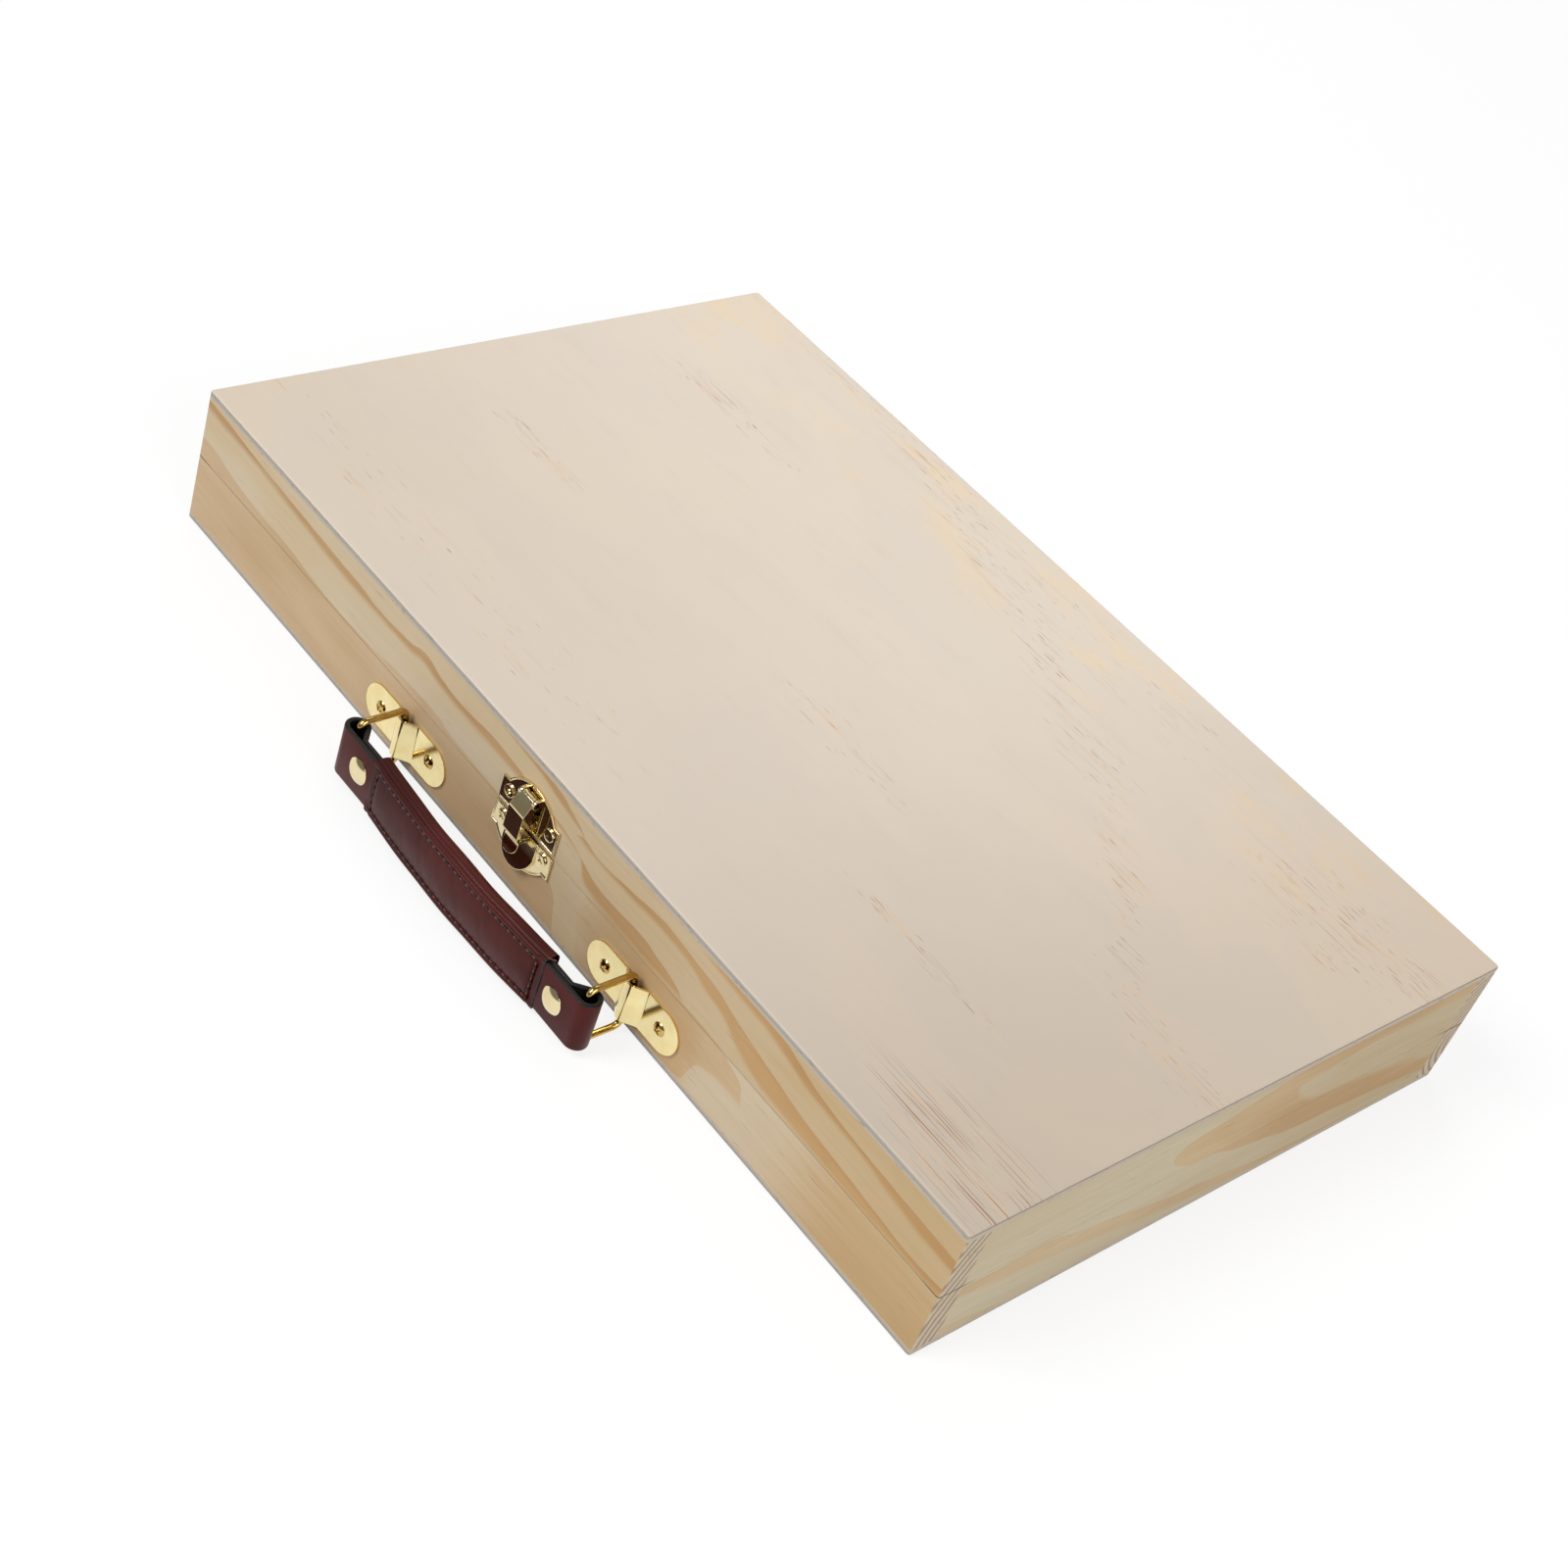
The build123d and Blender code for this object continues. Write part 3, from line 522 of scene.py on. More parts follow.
def leatherFinish(name, base, deep, rough, pore):
    # smooth finished leather: a fine pebble, faint creases and slight colour drift
    finish = Finish(name)
    cell = finish.node("ShaderNodeTexVoronoi", {"feature": "F1"}, {"Vector": finish.place(), "Scale": pore})
    fine = finish.noise(finish.place(), pore * 1.7, 3.0, 0.6)
    drift = finish.grain((40, 60, 60))
    colour = finish.mix(drift.between(0.3, 0.75), base, deep)
    colour = finish.mix(fine.between(0.55, 0.8) * 0.25, colour, deep)
    height = (cell.between(0.0, 0.8) * 0.6) + (fine * 0.4)
    bumped = finish.bump(height, 0.35, 0.00008)
    sheen = drift.between(0.3, 0.7, rough * 0.9, rough * 1.15)
    return finish.closeSolid(colour, sheen, bumped, Specular_IOR_Level=0.15)


def edgePaintFinish(name):
    # black edge paint, slightly uneven
    finish = Finish(name)
    lump = finish.noise(finish.place(), 1400, 3.0, 0.6)
    colour = finish.mix(lump.between(0.3, 0.8), srgb(12, 10, 10), srgb(26, 22, 22))
    bumped = finish.bump(lump, 0.5, 0.0001)
    return finish.closeSolid(colour, lump.between(0.3, 0.7, 0.36, 0.5), bumped, Specular_IOR_Level=0.3)


def threadFinish(name):
    finish = Finish(name)
    twist = finish.grain((2600, 2600, 2600), 2.0)
    colour = finish.mix(twist, srgb(122, 70, 62), srgb(86, 38, 34))
    return finish.closeSolid(colour, twist.between(0.2, 0.8, 0.5, 0.7), finish.bump(twist, 0.5, 0.0001))


# painted shade: the near-black red of the stitch holes, laid on small beads in the leather
def holeShadeFinish(name):
    finish = Finish(name)
    lump = finish.noise(finish.place(), 2000, 2.0)
    colour = finish.mix(lump, srgb(30, 6, 6), srgb(16, 2, 3))
    return finish.closeSolid(colour, lump.between(0.2, 0.8, 0.6, 0.8))


frontPine = pineFinish("pine_front", frontWood, boxSize["halfLength"], "x", False, 0.0)
backPine = pineFinish("pine_back", frontWood, boxSize["halfLength"], "x", True, 17.0)
rightPine = pineFinish("pine_right_end", endWood, boxSize["halfDepth"], "y", False, 5.0)
leftPine = pineFinish("pine_left_end", endWood, boxSize["halfDepth"], "y", True, 29.0)
lidPly = panelFinish("plywood_lid")
longDividerPly = plainPlyFinish("plywood_long_divider", True)
crossDividerPly = plainPlyFinish("plywood_cross_divider", False)
bracketBrass = brassFinish("brass_bracket", srgb(242, 226, 172), srgb(236, 216, 156), 0.13, 0.05)
ringBrass = brassFinish("brass_ring", srgb(206, 176, 106), srgb(182, 150, 84), 0.08, 0.03)
latchBrass = brassFinish("brass_latch", srgb(234, 218, 176), srgb(224, 204, 156), 0.07, 0.02)
gripLeather = leatherFinish("leather_grip", srgb(75, 24, 19), srgb(55, 12, 8), 0.38, 1500)
strapLeather = leatherFinish("leather_strap", srgb(80, 26, 23), srgb(62, 16, 14), 0.38, 1500)
edgePaint = edgePaintFinish("black_edge_paint")
stitchThread = threadFinish("stitch_thread")
stitchHoleShade = holeShadeFinish("stitch_hole_shade")


def dressNode(node, material):
    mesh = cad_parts[node].data
    mesh.materials.clear()
    mesh.materials.append(material)


for half in ("base", "lid"):
    dressNode(half + "_front_board", frontPine)
    dressNode(half + "_back_board", backPine)
    dressNode(half + "_left_board", leftPine)
    dressNode(half + "_right_board", rightPine)
dressNode("lid_panel", lidPly)
dressNode("base_panel", lidPly)
dressNode("long_divider", longDividerPly)
dressNode("left_cross_divider", crossDividerPly)
dressNode("right_cross_divider", crossDividerPly)
dressNode("latch_pin", latchBrass)
for side in ("left", "right"):
    dressNode(side + "_hinge_pin", bracketBrass)
print("wood and metal finishes on the CAD nodes")


# Helpers: modelling
near = 0.0001  # metres: what lies this close to a line or edge counts as on it


def freshStart():
    if bpy.context.object and bpy.context.object.mode != "OBJECT":
        bpy.ops.object.mode_set(mode="OBJECT")
    bpy.ops.object.select_all(action="DESELECT")


def choose(piece):
    freshStart()
    piece.select_set(True)
    bpy.context.view_layer.objects.active = piece


def newPiece(name, adder, stretch=(1, 1, 1), **settings):
    # a primitive, placed for good: its object goes back to the origin
    freshStart()
    adder(**settings)
    piece = bpy.context.object
    piece.scale = stretch
    piece.name = name
    piece.data.name = name
    bpy.ops.object.transform_apply(location=True, rotation=True, scale=True)
    return piece


def rescale(piece, factor):
    # about the origin, and applied at once
    choose(piece)
    piece.scale = [factor] * 3
    bpy.ops.object.transform_apply(location=False, rotation=False, scale=True)


def done():
    bpy.ops.object.mode_set(mode="OBJECT")


def pickAll(piece, kind="EDGE", action="SELECT"):
    bpy.context.view_layer.objects.active = piece
    bpy.ops.object.mode_set(mode="EDIT")
    bpy.ops.mesh.select_mode(type=kind)
    bpy.ops.mesh.select_all(action=action)


def pick(piece, kind, test):
    # opens the piece in edit mode with what passes the test selected, by its middle point
    pickAll(piece, kind, "DESELECT")
    done()
    mesh = piece.data
    if kind == "VERT":
        for vertex in mesh.vertices:
            vertex.select = test(vertex.co)
    elif kind == "EDGE":
        for edge in mesh.edges:
            ends = [mesh.vertices[v].co for v in edge.vertices]
            edge.select = test((ends[0] + ends[1]) / 2)
    else:
        for face in mesh.polygons:
            face.select = test(face.center)
    bpy.ops.object.mode_set(mode="EDIT")


def sweep(steps, angle, centre, axis):
    # turns the selection about an axis, drawing faces behind it; the operator itself turns the other way
    bpy.ops.mesh.spin(steps=steps, angle=-angle, center=centre, axis=axis)


def push(x=0.0, y=0.0, z=0.0):
    # extrudes the selected edges by an offset
    bpy.ops.mesh.extrude_edges_move(TRANSFORM_OT_translate={"value": (x, y, z)})


def modify(piece, kind, **settings):
    choose(piece)
    modifier = piece.modifiers.new(kind.lower(), kind)
    for name, value in settings.items():
        setattr(modifier, name, value)
    bpy.ops.object.modifier_apply(modifier=modifier.name)


def ease(piece, width, segments, angle, **settings):
    # rounds the edges that turn by more than the angle, in degrees
    settings.update(width=width, segments=segments, limit_method="ANGLE", angle_limit=radians(angle))
    modify(piece, "BEVEL", **settings)


def cleanNormals(piece):
    pickAll(piece, "VERT")
    bpy.ops.mesh.remove_doubles(threshold=near / 10)
    bpy.ops.mesh.normals_make_consistent(inside=False)
    done()


def faceForward(piece, behind=0.0):
    # turns a sheet over if its faces in front of that y look back into the box
    faces = [face for face in piece.data.polygons if face.center.y < behind]
    if sum(face.normal.y * face.area for face in faces) > 0:
        piece.data.flip_normals()


def smooth(piece, angle=35, flat=False):
    # flat keeps the large faces of pressed metal level in their shading
    choose(piece)
    bpy.ops.object.shade_smooth_by_angle(angle=radians(angle))
    if flat:
        modify(piece, "WEIGHTED_NORMAL", keep_sharp=True)


def drawn(name, corners, fill="NGON"):
    # a flat face through corners in metres, or with fill NOTHING only its outline
    piece = newPiece(
        name, bpy.ops.mesh.primitive_circle_add, vertices=len(corners), radius=0.01, fill_type=fill,
    )
    for vertex, corner in zip(piece.data.vertices, corners):
        vertex.co = corner
    return piece


def drawnOut(name, corners, offset):
    # a flat face drawn out into a solid
    piece = drawn(name, corners)
    pickAll(piece, "FACE")
    bpy.ops.mesh.extrude_region_move(TRANSFORM_OT_translate={"value": offset})
    done()
    cleanNormals(piece)
    return piece


def rod(name, radius, length, middle, sides, turn=(pi / 2, 0, 0)):
    # a round bar, along y unless turned
    return newPiece(
        name, bpy.ops.mesh.primitive_cylinder_add, vertices=sides, radius=radius, depth=length, rotation=turn,
        location=middle,
    )


def join(name, pieces):
    freshStart()
    for piece in pieces:
        piece.select_set(True)
    bpy.context.view_layer.objects.active = pieces[0]
    bpy.ops.object.join()
    joined = bpy.context.object
    joined.name = name
    joined.data.name = name
    return joined


def copyOf(piece, name, offset=(0, 0, 0), turn=(0, 0, 0)):
    twin = piece.copy()
    twin.data = piece.data.copy()
    twin.name = name
    twin.data.name = name
    bpy.context.scene.collection.objects.link(twin)
    twin.location = offset
    twin.rotation_euler = turn
    choose(twin)
    bpy.ops.object.transform_apply(location=True, rotation=True, scale=True)
    return twin


def dress(piece, body, slot, *materials):
    for material in materials:
        piece.data.materials.append(material)
    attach(piece, body)


# Handle brackets
frontY = -boxSize["halfDepth"] * mm
handleZ = 0.0118
bracketSize = {
    "centreX": 0.0583,
    "halfLength": 0.021,
    "width": 0.0142,
    "thickness": 0.0008,
    "height": 0.0042,
    "crownHalf": 0.0011,
    "footHalf": 0.0051,
    "endSteps": 12,
    "foldRadius": 0.0007,
    "edgeRound": 0.00016,
}


def makeBracket(name):
    # a strip bent from its crown down to a foot and a round end on each side
    size = bracketSize
    endRadius = size["width"] / 2
    strip = newPiece(
        name, bpy.ops.mesh.primitive_plane_add, size=1, rotation=(pi / 2, 0, 0),
        location=(0, frontY - size["height"], handleZ), stretch=(2 * size["crownHalf"], size["width"], 1),
    )
    rise = size["height"] - size["thickness"]
    for side in (-1, 1):
        pick(strip, "EDGE", lambda c: c.x * side > size["crownHalf"] * 0.9)
        push(side * (size["footHalf"] - size["crownHalf"]), rise)
        straight = size["halfLength"] - endRadius
        push(side * (straight - size["footHalf"]))
        # the round end, as ever shorter strips
        steps = size["endSteps"]
        for step in range(1, steps + 1):
            before, after = [pi / 2 * s / steps for s in (step - 1, step)]
            push(side * endRadius * (sin(after) - sin(before)))
            shrink = cos(after) / cos(before) if step < steps else 0.0
            x = side * (straight + endRadius * sin(after))
            bpy.ops.transform.resize(value=(1, 1, shrink), center_override=(x, frontY, handleZ))
        done()
    cleanNormals(strip)
    folds = (size["crownHalf"], size["footHalf"])
    pick(strip, "EDGE", lambda c: min(abs(abs(c.x) - f) for f in folds) < near and abs(c.z - handleZ) < mm)
    bpy.ops.mesh.bevel(offset=size["foldRadius"], segments=4, affect="EDGES")
    done()
    pickAll(strip, "FACE")
    bpy.ops.mesh.normals_make_consistent(inside=False)
    done()
    faceForward(strip)
    modify(strip, "SOLIDIFY", thickness=size["thickness"], offset=-1)
    ease(strip, size["edgeRound"], 2, 50)
    smooth(strip, 40, True)
    return strip


bracketModel = makeBracket("bracket_model")
for side, word in ((-1, "left"), (1, "right")):
    bracket = copyOf(bracketModel, word + "_bracket", (side * bracketSize["centreX"], 0, 0))
    dress(bracket, "base", "brass", bracketBrass)
    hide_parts(word + "_handle_bracket")
bpy.data.objects.remove(bracketModel)
print("brackets done")


# Latch, screws and hinges: pressed plates with a raised rim, turned and punched small parts
# All of latchSize is in millimetres
latchSize = {
    "thickness": 0.9,
    "lid": {"half": 13.7, "flatZ": 26.2, "shoulderZ": 34.9, "archHalf": 11.2, "crownZ": 41.0},
    "base": {"half": 14.1, "flatZ": 24.9, "shoulderZ": 16.9, "archHalf": 11.6, "crownZ": 11.4},
    "archSteps": 28,
    "rimWidth": 0.46,
    "rimSlope": 0.22,
    "rimDrop": 0.3,
    "edgeRound": 0.16,
    "bossRadius": 7.25,
    "bossAhead": 1.25,
    # the boss leans outward below this height over its middle, by about this much at its lowest point
    "bossFold": 0.2,
    "bossLift": 1.6,
    "bossSteps": 32,
    "bossRound": 0.3,
    "pivot": (2.4, 37.8),
    "earRadius": 1.5,
    "earX": 3.35,
    "earThickness": 1.2,
    "earRoot": 0.4,
    "earSteps": 16,
    "earRound": 0.18,
    "catch": ((-2.0, -118.1, 21.2), (2.0, -116.0, 22.6)),
    "catchRound": 0.25,
}


def outlined(name, points, ahead):
    # a plate, its outline given as (x, z) in millimetres, that stands in front of the front board
    return drawnOut(name, [(x * mm, frontY, z * mm) for x, z in points], (0, -ahead * mm, 0))


def shield(half, flatZ, shoulderZ, archHalf, crownZ):
    # plate outline: straight edge at the seam, square shoulders and a round arch
    rise = crownZ - shoulderZ
    facing = 1 if rise > 0 else -1
    radius = (archHalf ** 2 + rise ** 2) / (2 * abs(rise))
    centreZ = crownZ - facing * radius
    arch = []
    for step in range(latchSize["archSteps"] + 1):
        angle = asin(archHalf / radius) * (1 - 2 * step / latchSize["archSteps"])
        arch.append((radius * sin(angle), centreZ + facing * radius * cos(angle)))
    return [(-half, flatZ), (half, flatZ), (half, shoulderZ)] + arch + [(-half, shoulderZ)]


def makeLatchPlate(name, outline):
    size = latchSize
    plate = outlined(name, shield(**outline), size["thickness"])
    pick(plate, "FACE", lambda c: c.y < frontY - size["thickness"] * mm + near)
    bpy.ops.mesh.inset(thickness=size["rimWidth"] * mm, depth=0)
    bpy.ops.mesh.inset(thickness=size["rimSlope"] * mm, depth=-size["rimDrop"] * mm)
    done()
    ease(plate, size["edgeRound"] * mm, 3, 30)
    smooth(plate, 50, True)
    return plate


def makeBoss(name):
    # raised housing of the catch; its round lower half stands further forward toward the bottom
    size = latchSize
    flatZ = size["base"]["flatZ"]
    radius = size["bossRadius"]
    centreZ = size["base"]["crownZ"] + radius
    foldZ = centreZ + size["bossFold"]
    turns = [pi * step / size["bossSteps"] for step in range(size["bossSteps"] + 1)]
    curve = [(radius * cos(turn), centreZ - radius * sin(turn)) for turn in turns]
    boss = outlined(name, [(-radius, flatZ), (radius, flatZ)] + curve, size["bossAhead"])
    pickAll(boss, "FACE")
    bpy.ops.mesh.bisect(plane_co=(0, 0, foldZ * mm), plane_no=(0, 0, 1))
    done()
    for vertex in boss.data.vertices:
        below = foldZ * mm - vertex.co.z
        if below > 0 and vertex.co.y < frontY - mm:
            vertex.co.y -= size["bossLift"] * below / radius
    cleanNormals(boss)
    ease(boss, size["bossRound"] * mm, 4, 30)
    smooth(boss, 50, True)
    return boss


def makeBlock(name, corners, edge):
    # a small block between two corners, in millimetres, with eased edges
    low, high = [[value * mm for value in corner] for corner in corners]
    middle = [(a + b) / 2 for a, b in zip(low, high)]
    span = [b - a for a, b in zip(low, high)]
    made = newPiece(name, bpy.ops.mesh.primitive_cube_add, size=1, location=middle, stretch=span)
    ease(made, edge * mm, 3, 40)
    smooth(made, 50, True)
    return made


def sideProfile(name, points, middle, thickness, edge):
    # an upright cheek or ear seen from the side: points are (distance in front of the board, z), mm
    x = (middle - thickness / 2) * mm
    corners = [(x, frontY - ahead * mm, z * mm) for ahead, z in points]
    piece = drawnOut(name, corners, (thickness * mm, 0, 0))
    ease(piece, edge * mm, 3, 40)
    smooth(piece, 50, True)
    return piece


def makeEar(name, x):
    size = latchSize
    ahead, z = size["pivot"]
    radius = size["earRadius"]
    turns = [pi * step / size["earSteps"] for step in range(size["earSteps"] + 1)]
    points = [(ahead + radius * sin(turn), z + radius * cos(turn)) for turn in turns]
    points += [(size["earRoot"], z - radius), (size["earRoot"], z + radius)]
    return sideProfile(name, points, x, size["earThickness"], size["earRound"])


lidPlate = join("latch_lid_face", [
    makeLatchPlate("lid_plate", latchSize["lid"]),
    makeEar("left_ear", -latchSize["earX"]),
    makeEar("right_ear", latchSize["earX"]),
])
dress(lidPlate, "lid", "brass", latchBrass)
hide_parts("latch_lid_plate")
basePlate = join("latch_base_face", [
    makeLatchPlate("base_plate", latchSize["base"]),
    makeBoss("boss"),
    makeBlock("catch", latchSize["catch"], latchSize["catchRound"]),
])
dress(basePlate, "base", "brass", latchBrass)
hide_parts("latch_base_plate")


# All of tongueSize is in millimetres
tongueSize = {
    "sheet": 0.8,
    # the front sheet from its top edge to the lip's end: distance in front of the board, z, half width
    "facets": [(3.44, 38.58, 3.5), (6.2, 34.0, 3.5), (6.2, 25.2, 3.5), (4.75, 23.0, 3.25),
               (4.72, 21.7, 3.25), (4.86, 20.95, 3.22), (5.13, 20.2, 3.1), (5.46, 19.55, 2.8),
               (5.75, 19.05, 2.3), (5.95, 18.7, 1.6), (6.05, 18.5, 0.8)],
    "cheek": [(2.2, 36.3), (2.2, 24.4), (5.6, 25.3), (5.8, 34.0), (3.5, 37.9)],
    "cheekX": 3.1,
    "knuckleRadius": 1.3,
    "knuckleWidth": 5.2,
    "edgeRound": 0.3,
    "foldRound": 0.35,
    "smallRound": 0.15,
    "nib": ((-1.6, -119.6, 19.95), (1.6, -118.35, 20.95)),
}


def makeTongue(name):
    size = tongueSize
    facets = size["facets"]
    ahead, z, half = facets[0]
    sheet = newPiece(
        name + "_sheet", bpy.ops.mesh.primitive_plane_add, size=2 * half * mm, rotation=(pi / 2, 0, 0),
        location=(0, frontY - ahead * mm, (z + half) * mm),
    )
    # keep the plane's lower edge and draw the facets from it
    pick(sheet, "VERT", lambda c: c.z > z * mm + near)
    bpy.ops.mesh.delete(type="VERT")
    pickAll(sheet)
    for (ahead, z, half), (nextAhead, nextZ, nextHalf) in zip(facets, facets[1:]):
        push(0, (ahead - nextAhead) * mm, (nextZ - z) * mm)
        bpy.ops.transform.resize(value=(nextHalf / half, 1, 1), center_override=(0, 0, 0))
    done()
    cleanNormals(sheet)
    pick(sheet, "EDGE", lambda c: min(abs(c.z - z * mm) for ahead, z, half in facets[1:4]) < near / 10)
    bpy.ops.mesh.bevel(offset=size["foldRound"] * mm, segments=3, affect="EDGES")
    done()
    faceForward(sheet)
    modify(sheet, "SOLIDIFY", thickness=size["sheet"] * mm, offset=-1)
    ease(sheet, size["edgeRound"] * mm, 3, 50)
    smooth(sheet, 40, True)
    knuckleAhead, knuckleZ = latchSize["pivot"]
    knuckle = rod(
        name + "_knuckle", size["knuckleRadius"] * mm, size["knuckleWidth"] * mm,
        (0, frontY - knuckleAhead * mm, knuckleZ * mm), 32, turn=(0, pi / 2, 0),
    )
    ease(knuckle, size["smallRound"] * mm, 2, 40)
    smooth(knuckle, 40, True)
    cheeks = [
        sideProfile(name + "_cheek", size["cheek"], side * size["cheekX"], size["sheet"], size["edgeRound"])
        for side in (-1, 1)
    ]
    nib = makeBlock(name + "_nib", size["nib"], size["smallRound"])
    return join(name, [sheet, knuckle, nib] + cheeks)


tongue = makeTongue("tongue")
dress(tongue, "tongue", "brass", latchBrass)
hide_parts("latch_tongue")


leafSize = {"edgeRound": 0.0001, "levelAngle": 1.5}


def makeLeaf(name, node, body):
    # a copy of the CAD leaf with its edges eased, so that they catch the light
    piece = newPiece(name, bpy.ops.mesh.primitive_plane_add, size=0.01)
    plain = piece.data
    piece.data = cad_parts[node].data.copy()
    piece.data.name = name
    bpy.data.meshes.remove(plain)
    piece.data.materials.clear()
    bpy.ops.mesh.customdata_custom_splitnormals_clear()
    cleanNormals(piece)
    pickAll(piece, "VERT")
    bpy.ops.mesh.dissolve_limited(angle_limit=radians(leafSize["levelAngle"]))
    done()
    ease(piece, leafSize["edgeRound"], 2, 32)
    smooth(piece, 45, True)
    dress(piece, body, "brass", bracketBrass)
    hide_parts(node)


for side in ("left", "right"):
    for body in ("lid", "base"):
        makeLeaf(side + "_" + body + "_leaf", side + "_hinge_" + body + "_leaf", body)
print("latch and hinges done")


def makeDome(name, place, radius, height, facing):
    # a cap cut from a larger ball, closed underneath, facing along Y
    ball = (radius ** 2 + height ** 2) / (2 * height)
    dome = newPiece(
        name, bpy.ops.mesh.primitive_uv_sphere_add, segments=40, ring_count=64, radius=ball,
        rotation=(pi / 2, 0, 0), location=(0, facing * (height - ball), 0),
    )
    pickAll(dome, "FACE")
    bpy.ops.mesh.bisect(plane_co=(0, 0, 0), plane_no=(0, facing, 0), clear_inner=True, use_fill=True)
    bpy.ops.mesh.select_all(action="SELECT")
    bpy.ops.transform.translate(value=place)
    done()
    cleanNormals(dome)
    smooth(dome, 50)
    return dome


# heads and cross recesses in millimetres, made at that number of metres for a clean cut, then shrunk
screwSize = {
    "flat": {"radius": 2.15, "height": 0.9, "round": 0.24},
    "pan": {"radius": 2.35, "height": 1.15},
    "small": {"radius": 1.8, "height": 0.77, "round": 0.4},
    "recessLength": 1.25,
    "recessWidth": 0.34,
    "recessDepth": 0.65,
    # where they sit along the box, millimetres; a bracket's are measured from its own middle
    "latchX": (-9.9, 9.9),
    "bracketX": (-13, 13),
    "hingeX": (-123, -107, 107, 123),
}


def makeScrewModel(name, kind):
    size = screwSize[kind]
    radius, height = size["radius"], size["height"]
    if kind == "pan":
        head = makeDome(name, (0, 0, 0), radius, height, -1)
    else:
        head = rod(name, radius, height, (0, -height / 2, 0), 40)
        pick(head, "EDGE", lambda c: c.y < -height + 0.001 and c.length > radius * 0.9)
        bpy.ops.mesh.bevel(offset=size["round"], segments=5, affect="EDGES")
        done()
    reach = screwSize["recessLength"] * radius / 2
    for turn in (0, pi / 2):
        cutter = newPiece(
            "cutter", bpy.ops.mesh.primitive_cube_add, size=2, location=(0, -height, 0),
            rotation=(0, turn, 0), stretch=(reach, screwSize["recessDepth"], screwSize["recessWidth"]),
        )
        modify(head, "BOOLEAN", object=cutter, operation="DIFFERENCE", solver="EXACT")
        bpy.data.objects.remove(cutter)
    rescale(head, mm)
    smooth(head, 32)
    return head


latchX, hingeX = screwSize["latchX"], screwSize["hingeX"]
bracketX = [side * bracketSize["centreX"] / mm + x for side in (-1, 1) for x in screwSize["bracketX"]]
# each node's screws: model, body, material, places x, y and z in mm, and turns of the crosses in degrees
screwSets = {
    "lid_latch_screws": ("flat", "lid", latchBrass, latchX, -115.2, 31.2, (12, 38)),
    "base_latch_screws": ("flat", "base", latchBrass, latchX, -115.2, 21.6, (30, 41)),
    "handle_bracket_screws": ("pan", "base", ringBrass, bracketX, -115.75, 11.8, (22, 35, 40, 50)),
    "lid_hinge_screws": ("small", "lid", bracketBrass, hingeX, 115.8, 32.5, (15, 62, 33, 5)),
    "base_hinge_screws": ("small", "base", bracketBrass, hingeX, 115.8, 17.5, (48, 20, 70, 28)),
}
screwModels = {kind: makeScrewModel(kind + "_screw_model", kind) for kind in ("flat", "pan", "small")}
for node, (kind, body, material, across, y, z, turns) in screwSets.items():
    facing = pi if y > 0 else 0
    heads = []
    for x, turn in zip(across, turns):
        place = (x * mm, y * mm, z * mm)
        heads.append(copyOf(screwModels[kind], node + "_head", place, (0, radians(turn), facing)))
    screws = join(node[:-1] + "_heads", heads)
    dress(screws, body, "brass", material)
    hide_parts(node)
for model in screwModels.values():
    bpy.data.objects.remove(model)
print("screws done")


# Wire rings
ringSize = {
    "wireRadius": 0.0011,
    "innerY": -0.117,
    "outerY": -0.1338,
    "cornerRadius": 0.0028,
    "halfHeight": 0.0104,
    "wireSides": 16,
    "cornerSteps": 8,
}


def makeRing(name):
    size = ringSize
    bend = size["cornerRadius"]
    ring = newPiece(
        name, bpy.ops.mesh.primitive_circle_add, vertices=size["wireSides"], radius=size["wireRadius"],
        location=(0, size["innerY"], handleZ),
    )
    top, low = handleZ + size["halfHeight"], handleZ - size["halfHeight"]
    depth = size["innerY"] - size["outerY"] - 2 * bend
    corners = [
        ((0, size["innerY"] - bend, top - bend), (0, 0, top - bend - handleZ)),
        ((0, size["outerY"] + bend, top - bend), (0, -depth, 0)),
        ((0, size["outerY"] + bend, low + bend), (0, 0, 2 * bend - 2 * size["halfHeight"])),
        ((0, size["innerY"] - bend, low + bend), (0, depth, 0)),
    ]
    pickAll(ring)
    for centre, run in corners:
        push(*run)
        sweep(size["cornerSteps"], pi / 2, centre, (1, 0, 0))
    push(0, 0, handleZ - low - bend)
    done()
    cleanNormals(ring)
    smooth(ring, 60)
    return ring


ringModel = makeRing("ring_model")
for side, word in ((-1, "left"), (1, "right")):
    ring = copyOf(ringModel, word + "_ring", (side * bracketSize["centreX"], 0, 0))
    dress(ring, word + "_ring", "brass", ringBrass)
    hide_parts(word + "_handle_ring")
bpy.data.objects.remove(ringModel)
print("rings done")


# Leather strap
strapSize = {
    "frontY": -0.1378,
    "thickness": 0.0016,
    "width": 0.018,
    "tailX": 0.040,
    "loopX": 0.0589,
    "loopY": -0.1338,
    "loopRadius": 0.004,
    "loopTurn": 225,
    "slopeEnd": (0.05244, -0.1346),
    "bow": 0.002,
    "bowSteps": 12,
    "loopSteps": 22,
    "edgeRound": 0.00042,
}
bowRadius = (strapSize["tailX"] ** 2 + strapSize["bow"] ** 2) / (2 * strapSize["bow"])
bowCentre = (0, strapSize["frontY"] - strapSize["bow"] + bowRadius, 0)


def bowY(x):
    # how far the handle's middle stands out in front of its straight ends
    reach = min(abs(x), strapSize["tailX"])
    return bowCentre[1] - (bowRadius ** 2 - reach ** 2) ** 0.5 - strapSize["frontY"]


